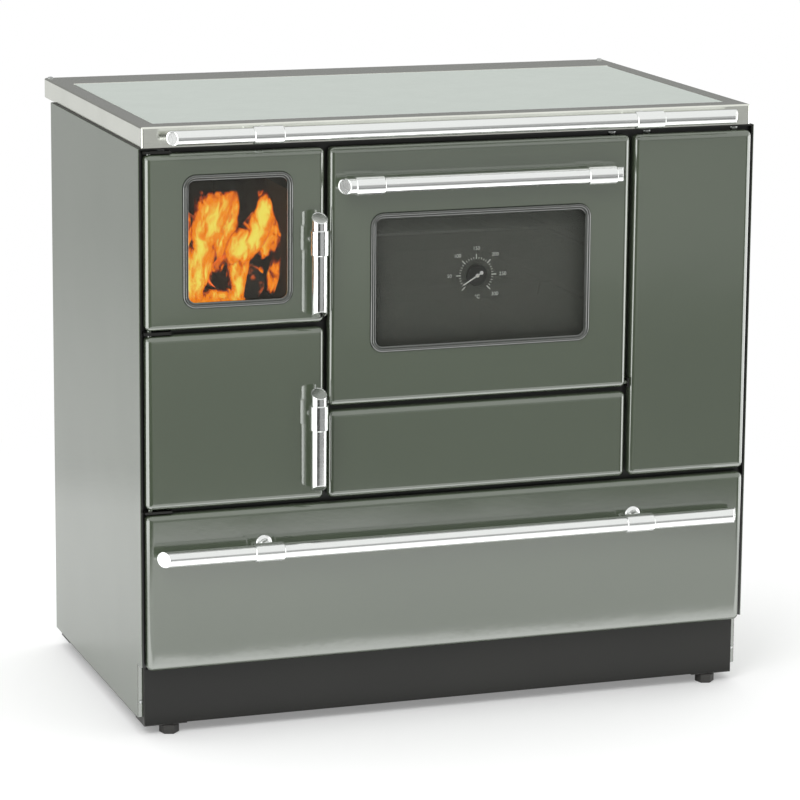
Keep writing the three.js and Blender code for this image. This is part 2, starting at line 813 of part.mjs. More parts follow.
// The ash box stands on the deck on its own side walls, with its floor level with the door opening.
function ashHousing() {
  const z = [shelfDeckTop + seatGap, fireFloor - seatGap];
  const y = [insideFront, chamberBack];
  const shell = openBox(chamberX, y, z, frameSheet, { y: [1, 0], z: [1, 0] });
  const floor = cuboid(inside(chamberX, 1), inside(y, 1), [ashFloor - frameSheet, ashFloor]);
  const ashFall = cuboid(inside(grateX, grateRest), inside(grateY, grateRest), [z[1] - 5, z[1] + 1]);
  return joined([cut(shell, ashFall), floor]);
}

function ashPan() {
  const x = inside(ashOpening.x, ashPanClearance);
  const y = [insideFront + ashPanFrontInset, chamberBack - ashPanRearInset];
  const z = [ashFloor + seatGap, ashFloor + seatGap + ashPanHeight];
  const tray = openBox(x, y, z, ashPanSheet, { z: [0, 1] });
  const gripZ = middle(z) + ashGripRise;
  const grip = around(middle(x), ashGripWidth);
  const bracketY = [y[0] - ashPanFrontInset + 2, y[0] + 1];
  const ears = grip.map((earX) => rod("y", bracketY, [earX, 0, gripZ], ashGripRadius, 8));
  const gripBar = rod(
    "x",
    inside(grip, -ashGripRadius),
    [0, bracketY[0] + ashGripRadius, gripZ],
    ashGripRadius,
    8,
  );
  return joined([tray, ...ears, gripBar]);
}

// ---------- oven ----------

const cavityX = ovenMouthX;
const cavityZ = ovenMouthZ;
const runnerSpaces = cavityZ[1] - cavityZ[0] - runnerFirst - runnerHeadroom;
const runnerRise = runnerSpaces / runnerLevels;
const runnerTops = Array.from(
  { length: runnerLevels },
  (_, level) => cavityZ[0] + runnerFirst + runnerRise * level,
);
const shelfX = inside(cavityX, shelfSideClearance);
const shelfRear = ovenBack - frameSheet - shelfBackClearance;
const shelfY = [shelfRear - shelfDepth, shelfRear];

function ovenBox() {
  const shell = openBox(
    inside(cavityX, -frameSheet),
    [insideFront, ovenBack],
    inside(cavityZ, -frameSheet),
    frameSheet,
    { y: [1, 0] },
  );
  const ribs = runnerTops.flatMap((top) => [
    runnerRib(cavityX[0], 1, top),
    runnerRib(cavityX[1], -1, top),
  ]);
  return joined([shell, ...ribs]);
}

// A pressed runner: flat on top, sloping back to the wall below.
function runnerRib(wallX, inward, top) {
  const section = [
    new THREE.Vector2(wallX - inward, top),
    new THREE.Vector2(wallX + inward * runnerWidth, top),
    new THREE.Vector2(wallX + inward * runnerWidth, top - 3),
    new THREE.Vector2(wallX - inward, top - 3 - runnerWidth),
  ];
  if (inward > 0) section.reverse();
  const front = insideFront + runnerFrontInset;
  const back = ovenBack - frameSheet - runnerRearInset;
  const prism = new THREE.ExtrudeGeometry(new THREE.Shape(section), {
    depth: back - front,
    bevelEnabled: false,
  });
  return solid(prism.rotateX(Math.PI / 2).translate(0, back, 0));
}

function ovenGrid() {
  const axisZ = runnerTops[2] + seatGap + gridFrameRadius;
  const frameX = inside(shelfX, gridFrameRadius);
  const frameY = inside(shelfY, gridFrameRadius);
  const sides = frameX.map((x) => rod("y", shelfY, [x, 0, axisZ], gridFrameRadius, 8));
  const ends = frameY.map((y) => rod("x", shelfX, [0, y, axisZ], gridFrameRadius, 8));
  const pitch = (frameX[1] - frameX[0]) / (gridWires + 1);
  const wires = Array.from({ length: gridWires }, (_, i) =>
    rod("y", frameY, [frameX[0] + pitch * (i + 1), 0, axisZ + gridFrameRadius / 2], gridWireRadius, 6),
  );
  return joined([...sides, ...ends, ...wires]);
}

// Pressed baking tray: flared walls that hang from a flat rim on the runners.
function bakingTray() {
  const rimZ = [runnerTops[1] + seatGap, runnerTops[1] + seatGap + traySheet];
  const wallX = inside(shelfX, trayRim);
  const wallY = inside(shelfY, trayRim);
  const bottom = rimZ[1] - trayHeight;
  const outer = flaredBlock(wallX, wallY, bottom, trayHeight, trayFlare);
  const inner = flaredBlock(
    inside(wallX, traySheet),
    inside(wallY, traySheet),
    bottom + traySheet,
    trayHeight,
    trayFlare,
  );
  return cut(joined([cuboid(shelfX, shelfY, rimZ), outer]), inner);
}

function flaredBlock(x, y, bottom, height, flare) {
  const shape = roundedOutline(inside(x, flare), inside(y, flare), innerCornerRadius + flare);
  const block = new THREE.ExtrudeGeometry(shape, {
    depth: 0.01,
    bevelEnabled: true,
    bevelThickness: height,
    bevelSize: flare,
    bevelSegments: 1,
    curveSegments: cornerSteps,
  });
  const whole = solid(block.translate(0, 0, bottom + height));
  return whole.intersect(cuboid(inside(x, -1), inside(y, -1), [bottom - 1, bottom + height]));
}

// ---------- flue ----------

function flueBox() {
  const y = [flueBoxBack - flueBoxDepth, flueBoxBack];
  const z = [shelfDeckTop + seatGap, flueHeight + flueFlangeRadius + flueBoxMargin];
  const shell = openBox(flueBoxX, y, z, frameSheet, {});
  const side = [flueBoxX[0] - 1, flueBoxX[0] + frameSheet + 1];
  const upperInlet = cuboid(side, inside(y, 12), [cavityZ[1] + frameSheet, z[1] - 8]);
  const lowerInlet = cuboid(side, inside(y, 12), [z[0] + 12, cavityZ[0] - 20]);
  const outlet = rod(
    "y",
    [y[1] - frameSheet - 1, y[1] + 1],
    [flueX, 0, flueHeight],
    flueRadius + 1,
    barSides * 2,
  );
  return cut(shell, upperInlet, lowerInlet, outlet);
}

// Spun collar for the flue pipe, with a flange on the back panel and a spigot into the flue box.
function flueCollar() {
  const inner = flueRadius - flueWall;
  const start = flueBoxBack - frameSheet - bodyDepth;
  const profile = [
    [inner, start],
    [flueRadius, start],
    [flueRadius, seatGap],
    [flueFlangeRadius, seatGap],
    [flueFlangeRadius, seatGap + panSheet],
    [flueRadius, seatGap + panSheet],
    [flueRadius, flueReach],
    [inner, flueReach],
    [inner, start],
  ].map(([radius, y]) => new THREE.Vector2(radius, y));
  return solid(new THREE.LatheGeometry(profile, barSides * 2).translate(flueX, bodyDepth, flueHeight));
}

// ---------- doors and covers ----------

const movingPanBack = fronts + panDepth;
const fixedPanBack = framePlate - seatGap;
const sealBack = framePlate - seatGap;

function windowHole(window, depth) {
  return plate(inside(window.x, -seatGap), inside(window.z, -seatGap), depth, windowCorner + seatGap);
}

function windowTrim(window) {
  const face = fronts - trimProud;
  const back = fronts + panSheet;
  const outer = rolledPlate(window.x, window.z, [face, back], windowCorner, 1.5, 2);
  const hole = plate(
    inside(window.x, trimWidth),
    inside(window.z, trimWidth),
    [face - 1, back + 1],
    windowCorner - trimWidth / 2,
  );
  return cut(outer, hole);
}

const glassY = [fronts + panSheet + seatGap, fronts + panSheet + seatGap + glassThickness];

function windowGlass(window) {
  return plate(inside(window.x, 0.5), inside(window.z, 0.5), glassY, windowCorner - 0.5);
}

function hingePins(row) {
  const reach = rowGap / 2 - seatGap;
  const place = [hingeX, hingeY, 0];
  return [
    rod("z", [row[0] - reach, row[0] + panSheet / 2], place, hingePinRadius, pinSides),
    rod("z", [row[1] - panSheet / 2, row[1] + reach], place, hingePinRadius, pinSides),
  ];
}

function latchHole(height) {
  const y = [fronts - 1, sealBack + 1];
  return rod("y", y, [latchX, 0, height], spindleHole, pinSides);
}

function fireDoorPan() {
  const body = pan(leftColumn, fireRow, movingPanBack);
  const cutOut = windowHole(fireWindow, [fronts - 1, fronts + panSheet + 1]);
  return joined([cut(body, cutOut, latchHole(latchHeights()[0])), ...hingePins(fireRow)]);
}

function ashDoorPan() {
  const body = pan(leftColumn, ashRow, movingPanBack);
  return joined([cut(body, latchHole(latchHeights()[1])), ...hingePins(ashRow)]);
}

const linerY = [fronts + panSheet + seatGap, fronts + panDepth - seatGap - 4];

// The folded liner of a chamber door: a shallow tray behind the enamel, with a boss for the spindle.
function doorLiner(row, height) {
  const x = inside(leftColumn, rimRadius + 1);
  const z = inside(row, rimRadius + 1);
  const tray = cut(
    plate(x, z, linerY, innerCornerRadius),
    plate(
      inside(x, frameSheet),
      inside(z, frameSheet),
      [linerY[0] - 1, linerY[1] - frameSheet],
      innerCornerRadius - 1,
    ),
  );
  return cut(tray, latchHole(height));
}

function fireDoorLiner() {
  const window = { x: inside(fireWindow.x, trimWidth - 2), z: inside(fireWindow.z, trimWidth - 2) };
  const clampY = [glassY[1] + seatGap, linerY[1]];
  const clamp = plate(inside(window.x, -8), inside(window.z, -8), clampY, windowCorner);
  const hole = plate(window.x, window.z, [linerY[0] - 1, linerY[1] + 1], windowCorner - 4);
  return cut(joined([doorLiner(fireRow, latchHeights()[0]), clamp]), hole);
}

// A rope of square section round an opening, from y0 to y1.
function ropeRound(opening, y, offset = 0) {
  const reach = -sealWidth - offset;
  const corner = innerCornerRadius + sealWidth + offset;
  return ring(inside(opening.x, reach), inside(opening.z, reach), y, corner, sealWidth);
}

const doorSeal = (opening) => ropeRound(opening, [linerY[1] + seatGap, sealBack]);

// The rope seal of the ash door is glued to its liner, so the two are one solid.
function ashDoorLiner() {
  const rim = ropeRound(ashOpening, [linerY[1] - 1, sealBack]);
  return cut(joined([doorLiner(ashRow, latchHeights()[1]), rim]), ...airSlots(linerY));
}

const airCentre = { x: middle(openingX), z: middle(ashRow) - airSlotDrop };

function airSlots(y) {
  return Array.from({ length: airSlotCount }, (_, i) => {
    const x = airCentre.x + airSlotPitch * (i - (airSlotCount - 1) / 2);
    const z = around(airCentre.z, airSlotHeight);
    return plate(around(x, airSlotWidth), z, inside(y, -1), airSlotWidth / 2 - 1);
  });
}

// Slotted plate that slides over the liner's air slots; at rest its slots line up with them.
function airSlide() {
  const y = [linerY[1] + seatGap, linerY[1] + seatGap + panSheet];
  const length = airSlotPitch * airSlotCount;
  const x = around(airCentre.x, length);
  const z = inside(around(airCentre.z, airSlotHeight), -airSlideMargin);
  const blade = plate(x, z, y, 3);
  const knobZ = airCentre.z + airSlotHeight / 2 + airKnobRadius;
  const knob = rod("y", [y[0] + 1, sealBack], [airCentre.x, 0, knobZ], airKnobRadius, rodSides);
  return joined([cut(blade, ...airSlots(y)), knob]);
}

// Latch: hanging tube, sleeve, spindle through the door and a tongue behind the front frame.
function latch(height) {
  const tubeSpan = [height - latchBelow, height + latchAbove];
  const place = [latchX, handleY, 0];
  const tube = bar("z", tubeSpan, place, latchTubeRadius);
  const sleeveSpan = around(height, latchSleeveLength);
  const sleeve = rod("z", sleeveSpan, place, latchTubeRadius + latchSleeveWall, barSides);
  const tongueY = [frameBack + 1, frameBack + 1 + tongueThickness];
  const spindle = rod("y", [handleY, tongueY[1]], [latchX, 0, height], spindleRadius, pinSides);
  const tongue = cuboid([latchX, latchX + tongueLength], tongueY, around(height, tongueHeight));
  return joined([tube, sleeve, spindle, tongue]);
}

const ovenPlugX = inside(ovenMouthX, plugClearance);
const ovenPlugZ = inside(ovenMouthZ, plugClearance);
const plugBack = fronts + panSheet + plugDepth;
const innerGlassY = [plugBack - frameSheet - seatGap - glassThickness, plugBack - frameSheet - seatGap];

function ovenDoorPan() {
  const body = pan(ovenColumn, ovenRow, movingPanBack);
  const cutOut = windowHole(ovenWindow, [fronts - 1, fronts + panSheet + 1]);
  const place = [0, ovenHingeY, ovenHingeZ];
  const lugs = ovenLugPlaces();
  const pins = [
    rod("x", [lugs[0][0] + seatGap, ovenColumn[0] + panSheet / 2], place, ovenPinRadius, pinSides),
    rod("x", [ovenColumn[1] - panSheet / 2, lugs[1][1] - seatGap], place, ovenPinRadius, pinSides),
  ];
  return joined([cut(body, cutOut), ...pins]);
}

// Inner panel of the oven door: a flange inside the pan and a plug that reaches into the oven's mouth.
function ovenDoorInner() {
  const flangeFront = movingPanBack - ovenFlangeInset;
  const flangeY = [flangeFront, flangeFront + frameSheet];
  const flange = plate(
    inside(ovenColumn, panSheet + seatGap),
    inside(ovenRow, panSheet + seatGap),
    flangeY,
    innerCornerRadius,
  );
  const plugY = [fronts + panSheet + seatGap, plugBack];
  const plug = plate(ovenPlugX, ovenPlugZ, plugY, innerCornerRadius);
  const hollow = plate(
    inside(ovenPlugX, frameSheet),
    inside(ovenPlugZ, frameSheet),
    [plugY[0] - 1, plugBack - frameSheet],
    innerCornerRadius - 1,
  );
  const hole = plate(
    inside(ovenWindow.x, -2),
    inside(ovenWindow.z, -2),
    [plugBack - frameSheet - 1, plugBack + 1],
    windowCorner,
  );
  return cut(joined([flange, plug]), hollow, hole);
}

function ovenInnerGlass() {
  return plate(
    inside(ovenPlugX, frameSheet + seatGap),
    inside(ovenPlugZ, frameSheet + seatGap),
    innerGlassY,
    2,
  );
}

function ovenDoorSeal() {
  const y = [movingPanBack - ovenFlangeInset + frameSheet + seatGap, sealBack];
  return ropeRound({ x: ovenMouthX, z: ovenMouthZ }, y, 1);
}

const dialX = ovenCentreX;
const dialZ = middle(ovenWindow.z);
const hubFront = innerGlassY[0] - seatGap - dialHubDepth;

function dialHub() {
  const hub = [
    [0, 0],
    [dialHubRadius, 0],
    [dialHubRadius, dialHubDepth - 1],
    [dialHubRadius - 1, dialHubDepth],
    [0, dialHubDepth],
  ].map(([radius, height]) => new THREE.Vector2(radius, height));
  const turned = new THREE.LatheGeometry(hub, barSides).rotateX(Math.PI);
  return solid(turned.translate(dialX, innerGlassY[0] - seatGap, dialZ));
}

// Needle: a slim blade with a round tail, drawn pointing up and then turned to its reading.
function needle() {
  const y = [hubFront - seatGap - needleThickness, hubFront - seatGap];
  const outline = new THREE.Shape();
  outline.moveTo(-needleWidth / 2, 0);
  outline.lineTo(-needleWidth / 4, needleLength);
  outline.lineTo(needleWidth / 4, needleLength);
  outline.lineTo(needleWidth / 2, 0);
  outline.lineTo(needleWidth / 2, -needleTail);
  outline.lineTo(-needleWidth / 2, -needleTail);
  outline.closePath();
  const blade = solid(
    new THREE.ExtrudeGeometry(outline, { depth: needleThickness, bevelEnabled: false })
      .rotateX(Math.PI / 2)
      .translate(0, y[1], 0),
  );
  const tail = rod("y", y, [0, 0, -needleTail], needleTailRadius, rodSides);
  const boss = rod("y", y, [0, 0, 0], needleTailRadius, rodSides);
  const zeroMark = -135;
  return joined([blade, tail, boss])
    .rotate([0, zeroMark + needleBearing, 0])
    .translate([dialX, 0, dialZ]);
}

const fixedCover = (x, z) => pan(x, z, fixedPanBack);

// ---------- fuel drawer ----------

function drawerBin() {
  const tray = openBox(binX, [binFront, binBack], binZ, binSheet, { z: [0, 1] });
  const hangers = mirrored((side) => {
    const inner = rollerCentreX - rollerWidth / 2 - 1;
    const ear = onSide(side, [inner - frameSheet, inner]);
    const earY = around(rollerRearY, 2 * rollerRadius);
    const axle = onSide(side, [inner - 1, rollerCentreX + rollerWidth / 2]);
    return joined([
      cuboid(ear, earY, [rollerZ - 2 * rollerAxleRadius, binZ[0] + 1]),
      rod("x", axle, [0, rollerRearY, rollerZ], rollerAxleRadius),
    ]);
  });
  return joined([tray, ...hangers]);
}

function roller(side, y) {
  const x = onSide(side, around(rollerCentreX, rollerWidth));
  const place = [0, y, rollerZ];
  return cut(
    rod("x", x, place, rollerRadius, barSides),
    rod("x", inside(x, -1), place, rollerAxleRadius + seatGap, rodSides),
  );
}

const drawerFront = () => pan([leftColumn[0], rightColumn[1]], drawerRow, movingPanBack);
const drawerHandleZ = drawerRow[1] - drawerHandleDrop;
const ovenHandleX = ovenCentreX + handleOffset;
const ovenHandleZ = ovenRow[1] - ovenHandleDrop;

function handleBar(centreX, length, z) {
  return bar("x", around(centreX, length), [0, handleY, z], handleRadius);
}

function handleBracket(x, z, rise) {
  return barBracket(x, handleY, z, handleRadius, fronts, rise, rosetteRadius);
}

// ---------- assembly ----------

const stove = new THREE.Group();
const frontmost = handleY - handleRadius - sleeveWall - seatGap;
const rearmost = bodyDepth + flueReach;
stove.position.y = -(frontmost + rearmost) / 2;

function piece(name, body, finish) {
  const mesh = new THREE.Mesh(geometryOf(body), new THREE.MeshStandardMaterial(finish));
  mesh.name = name;
  stove.add(mesh);
}

const sides = [
  ["left", -1],
  ["right", 1],
];

piece("carcass", carcass(), darkSteel);
piece("front_frame", frontFrame(), blackEnamel);
piece("back_panel", backPanel(), zinc);
piece("plinth_panel", plinthPanel(), blackEnamel);
for (const [name, side] of sides) {
  piece(`${name}_side_panel`, sidePanel(side), enamel);
  piece(`front_${name}_foot`, foot(side, footPlaces()[0]), zinc);
  piece(`rear_${name}_foot`, foot(side, footPlaces()[1]), zinc);
}

piece("hob_frame", hobFrame(), stainless);
piece("hob_seal", hobSeal(), rope);
piece("hob_plate", hobPlate(), groundSteel);
piece("rail_bar", railBar(), chrome);
for (const [name, side] of sides) piece(`rail_bracket_${name}`, railBracket(side), chrome);

piece("firebox_shell", fireboxShell(), darkSteel);
for (const [name, side] of sides) piece(`firebrick_${name}`, firebrickSide(side), fireclay);
piece("firebrick_rear", firebrickRear(), fireclay);
piece("grate", grate(), castIron);
piece("ash_housing", ashHousing(), darkSteel);
piece("ash_pan", ashPan(), zinc);

piece("oven_box", ovenBox(), ovenEnamel);
piece("oven_grid", ovenGrid(), chrome);
piece("baking_tray", bakingTray(), ovenEnamel);
piece("flue_box", flueBox(), darkSteel);
piece("flue_collar", flueCollar(), castIron);

piece("fire_door_pan", fireDoorPan(), enamel);
piece("fire_window_trim", windowTrim(fireWindow), blackEnamel);
piece("fire_door_glass", windowGlass(fireWindow), glass);
piece("fire_door_liner", fireDoorLiner(), darkSteel);
piece("fire_door_seal", doorSeal(fireOpening), rope);
piece("fire_latch", latch(latchHeights()[0]), chrome);

piece("ash_door_pan", ashDoorPan(), enamel);
piece("ash_door_liner", ashDoorLiner(), darkSteel);
piece("ash_latch", latch(latchHeights()[1]), chrome);
piece("air_slide", airSlide(), zinc);

piece("oven_door_pan", ovenDoorPan(), enamel);
piece("oven_window_trim", windowTrim(ovenWindow), blackEnamel);
piece("oven_door_glass", windowGlass(ovenWindow), glass);
piece("oven_door_inner", ovenDoorInner(), darkSteel);
piece("oven_inner_glass", ovenInnerGlass(), glass);
piece("oven_door_seal", ovenDoorSeal(), rope);
piece("oven_handle_bar", handleBar(ovenHandleX, ovenHandleLength, ovenHandleZ), chrome);
for (const [name, side] of sides) {
  const x = ovenHandleX + (side * ovenHandlePostSpacing) / 2;
  piece(`oven_handle_bracket_${name}`, handleBracket(x, ovenHandleZ, ovenPostRise), chrome);
}
piece("thermometer_hub", dialHub(), plastic);
piece("thermometer_needle", needle(), white);

piece("lower_cover", fixedCover(ovenColumn, lowerRow), enamel);
piece("right_cover", fixedCover(rightColumn, coverRow), enamel);

piece("drawer_front", drawerFront(), enamel);
piece("drawer_bin", drawerBin(), zinc);
piece("drawer_handle_bar", handleBar(handleOffset, drawerHandleLength, drawerHandleZ), chrome);
for (const [name, side] of sides) {
  const x = handleOffset + (side * drawerHandlePostSpacing) / 2;
  piece(`drawer_handle_bracket_${name}`, handleBracket(x, drawerHandleZ, drawerPostRise), chrome);
  piece(`front_${name}_roller`, roller(side, rollerFrontY), plastic);
  piece(`rear_${name}_roller`, roller(side, rollerRearY), plastic);
}

export default stove;
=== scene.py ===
"""A wood cookstove with grey-green enamelled fronts, a steel hob and bright tube handles.

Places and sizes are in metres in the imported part's frame: X to the right, the front at -Y, and Z up
from the floor.
"""

import math
import random

import bmesh
import bpy
from mathutils import Matrix, Vector


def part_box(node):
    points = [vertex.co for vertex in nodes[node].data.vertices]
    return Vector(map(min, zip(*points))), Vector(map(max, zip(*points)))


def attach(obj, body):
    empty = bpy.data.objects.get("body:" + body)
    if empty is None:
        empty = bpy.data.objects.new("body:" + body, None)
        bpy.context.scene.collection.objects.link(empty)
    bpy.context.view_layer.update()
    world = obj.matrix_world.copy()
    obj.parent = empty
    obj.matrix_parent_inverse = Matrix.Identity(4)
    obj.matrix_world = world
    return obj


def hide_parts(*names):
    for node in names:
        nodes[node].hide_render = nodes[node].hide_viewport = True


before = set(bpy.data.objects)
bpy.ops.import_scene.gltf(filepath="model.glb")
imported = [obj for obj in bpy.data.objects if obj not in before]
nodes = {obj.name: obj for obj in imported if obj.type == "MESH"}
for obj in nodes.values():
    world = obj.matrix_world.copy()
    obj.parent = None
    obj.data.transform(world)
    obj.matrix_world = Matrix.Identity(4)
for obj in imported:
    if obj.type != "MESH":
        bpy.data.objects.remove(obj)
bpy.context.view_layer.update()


# ---------- Camera ----------
# The photograph's view: from the front left, a little above the hob, through a long lens.
stand_at = (-1.6535, -4.8054, 1.5050)
turned_right, looking_down, tilted = 19.105, 11.331, 0.465
camera = bpy.data.objects.new("camera", bpy.data.cameras.new("camera"))
bpy.context.scene.collection.objects.link(camera)
bpy.context.scene.camera = camera
camera.data.lens = 159.716
camera.data.shift_y = -0.075
camera.data.clip_end = 100
camera.matrix_world = (
    Matrix.Translation(stand_at)
    @ Matrix.Rotation(-math.radians(turned_right), 4, "Z")
    @ Matrix.Rotation(math.radians(90 - looking_down), 4, "X")
    @ Matrix.Rotation(math.radians(tilted), 4, "Z")
)


# ---------- Side panels ----------
# Sheet steel in glossy grey-green enamel, folded inwards beside the kick space and screwed to the carcass.
class Wire:
    """A shader socket that adds, multiplies and compares like a number."""

    def __init__(self, tree, socket):
        self.tree = tree
        self.socket = socket

    def node(self, kind, inputs=None, output=0, **settings):
        """Any other node, with its settings and its inputs by name or number, and one of its outputs."""
        made = self.tree.nodes.new("ShaderNode" + kind)
        for name, value in settings.items():
            setattr(made, name, value)
        for name, value in (inputs or {}).items():
            feed(self.tree, value, made.inputs[name])
        return Wire(self.tree, made.outputs[output])

    def math(self, operation, *others):
        values = dict(enumerate((self,) + others))
        return self.node("Math", values, operation=operation)

    def __add__(self, other):
        return self.math("ADD", other)

    def __sub__(self, other):
        return self.math("SUBTRACT", other)

    def __rsub__(self, other):
        return self.math("MULTIPLY", -1.0).math("ADD", other)

    def __mul__(self, other):
        return self.math("MULTIPLY", other)

    def __truediv__(self, other):
        return self.math("DIVIDE", other)

    def __abs__(self):
        return self.math("ABSOLUTE")

    def clamped(self):
        return self.node("Clamp", {"Value": self})

    def step(self, low, high):
        """0 below low, 1 above high, smooth between."""
        limits = {"Value": self, "From Min": low, "From Max": high}
        return self.node("MapRange", limits, interpolation_type="SMOOTHSTEP")

    def mix(self, first, second):
        """The first colour where this is 0, the second where it is 1."""
        colours = {"Factor": self, 6: first, 7: second}
        return self.node("Mix", colours, output=2, data_type="RGBA")

    def stretched(self, x, y, z):
        return self.node("VectorMath", {0: self, 1: (x, y, z)}, operation="MULTIPLY")

    def noise(self, scale, detail=3.0, roughness=0.5):
        settings = {"Vector": self, "Scale": scale, "Detail": detail, "Roughness": roughness}
        return self.node("TexNoise", settings)

    def split(self):
        return [self.node("SeparateXYZ", {0: self}, output=i) for i in range(3)]


def feed(tree, value, socket):
    if isinstance(value, Wire):
        tree.links.new(value.socket, socket)
    elif isinstance(value, tuple) and socket.type == "RGBA":
        socket.default_value = value + (1.0,)
    else:
        socket.default_value = value


def new_material(name, **constants):
    """A material, its object coordinates, and a function that feeds its shader's inputs."""
    made = bpy.data.materials.new(name)
    made.use_nodes = True
    tree = made.node_tree
    shader = tree.nodes["Principled BSDF"]
    place = Wire(tree, tree.nodes.new("ShaderNodeTexCoord").outputs["Object"])

    def paint(**inputs):
        for socket, value in inputs.items():
            feed(tree, value, shader.inputs[socket.replace("_", " ")])

    paint(**constants)
    return made, place, paint


def bumped(height, distance, strength=1.0):
    return height.node("Bump", {"Height": height, "Distance": distance, "Strength": strength})


def enamel(name, colour, shade, gloss, index):
    """Fired enamel: a clear gloss over a slightly cloudy colour, with a faint orange peel."""
    made, place, paint = new_material(name, IOR=index)
    cloud = place.noise(3.0, 2.0)
    grain = place.noise(900.0, 1.0)
    peel = place.noise(140.0, 2.0)
    sag = place.noise(7.0, 1.0)
    paint(
        Base_Color=(cloud * 0.7 + grain * 0.3).step(0.3, 0.7).mix(colour, shade),
        Roughness=peel * 0.05 + gloss,
        Normal=bumped(peel * 0.25 + sag * 6.0, 0.00012),
    )
    return made


green_enamel = enamel("green_enamel", (0.066, 0.084, 0.055), (0.074, 0.093, 0.061), gloss=0.06, index=2.25)


def shown(name, bm, material, body, replaced=(), sharp=35):
    """The bmesh as a piece that rides on a body and stands for the CAD nodes it replaces."""
    bmesh.ops.recalc_face_normals(bm, faces=bm.faces)
    mesh = bpy.data.meshes.new(name)
    bm.to_mesh(mesh)
    bm.free()
    mesh.materials.append(material)
    mesh.shade_smooth()
    mesh.set_sharp_from_angle(angle=math.radians(sharp))
    made = bpy.data.objects.new(name, mesh)
    bpy.context.scene.collection.objects.link(made)
    made.modifiers.new("flat_faces_shade_flat", "WEIGHTED_NORMAL").keep_sharp = True
    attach(made, body)
    if replaced:
        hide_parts(*replaced)


def prism(bm, outline, span, place, edge, segments=2):
    """An outline drawn in two axes, pushed through a span of the third, with its edges rounded."""
    near = [bm.verts.new(place(u, v, span[0])) for u, v in outline]
    face = bm.faces.new(near)
    pushed = bmesh.ops.extrude_face_region(bm, geom=[face])["geom"]
    offset = Vector(place(0, 0, span[1])) - Vector(place(0, 0, span[0]))
    far = [v for v in pushed if isinstance(v, bmesh.types.BMVert)]
    bmesh.ops.translate(bm, verts=far, vec=offset)
    edges = {e for v in near + far for e in v.link_edges}
    bmesh.ops.bevel(
        bm,
        geom=list(edges),
        offset=edge,
        segments=segments,
        profile=0.5,
        material=-1,
        affect="EDGES",
    )


def block(bm, low, high, edge):
    """A box from its low corner to its high one, with its edges rounded."""
    outline = [(low[0], low[2]), (high[0], low[2]), (high[0], high[2]), (low[0], high[2])]
    prism(bm, outline, (low[1], high[1]), lambda x, z, y: (x, y, z), edge)


half_width, flange_end, side_sheet = 0.45, 0.4426, 0.0015
kick_top, kick_depth = 0.102, 0.021
for name, side in (("left_side_panel", -1), ("right_side_panel", 1)):
    low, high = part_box(name)
    front_edge, back_edge = low.y, high.y
    outline = [
        (front_edge, kick_top),
        (front_edge + kick_depth, kick_top),
        (front_edge + kick_depth, low.z),
        (back_edge, low.z),
        (back_edge, high.z),
        (front_edge, high.z),
    ]
    outer = side * half_width
    inner = outer - side * side_sheet
    bm = bmesh.new()
    prism(bm, outline, (inner, outer), lambda y, z, x: (x, y, z), 0.0006)
    flange = sorted((outer, side * flange_end))
    flange_front = front_edge + kick_depth
    block(bm, (flange[0], flange_front, low.z), (flange[1], flange_front + side_sheet, kick_top), 0.0005)
    shown(name + "_enamelled", bm, green_enamel, "stove_body", [name])


# ---------- Fronts ----------
# Six pressed pans in the same enamel: three doors, two fixed covers and the drawer's front.
# Each has rolled edges and folded walls; the two glazed doors have an opening with a turned-in lip.
def rounded(x, z, radius, steps):
    """A rectangle with round corners, anticlockwise, as points of its two axes."""
    points = []
    corners = ((x[1], z[1], -1, -1), (x[0], z[1], 1, -1), (x[0], z[0], 1, 1), (x[1], z[0], -1, 1))
    for quarter, (corner_x, corner_z, turn_x, turn_z) in enumerate(corners):
        for i in range(steps + 1):
            angle = math.radians(90 * (quarter + i / steps))
            points.append(
                (
                    corner_x + turn_x * radius + radius * math.cos(angle),
                    corner_z + turn_z * radius + radius * math.sin(angle),
                )
            )
    return points


def front_ring(x, z, inset, radius, y, steps=6):
    """A rounded rectangle facing forwards, inset from a box's edges."""
    inner_x, inner_z = (x[0] + inset, x[1] - inset), (z[0] + inset, z[1] - inset)
    return [(u, y, v) for u, v in rounded(inner_x, inner_z, radius, steps)]


def loft(bm, rings, closed=False):
    """Skins a list of rings; the two ends are joined to each other, or capped."""
    made = [[bm.verts.new(p) for p in ring] for ring in rings]
    pairs = list(zip(made, made[1:]))
    if closed:
        pairs.append((made[-1], made[0]))
    for ring, after in pairs:
        for i in range(len(ring)):
            j = (i + 1) % len(ring)
            bm.faces.new((ring[i], ring[j], after[j], after[i]))
    if not closed:
        bm.faces.new(made[0])
        bm.faces.new(made[-1])


def roll(depth, width):
    """(inset, depth) pairs of a rolled edge, from the face round to the wall."""
    steps = 8
    turns = [math.radians(90 * i / steps) for i in range(steps + 1)]
    return [(width * (1 - math.sin(t)), depth * (1 - math.cos(t))) for t in turns]


pan_front, pan_sheet = -0.2665, 0.002
pan_roll, pan_roll_width = 0.0068, 0.0095
pan_corner, tight_corner = 0.0075, 0.0012
lip_round = 0.0008


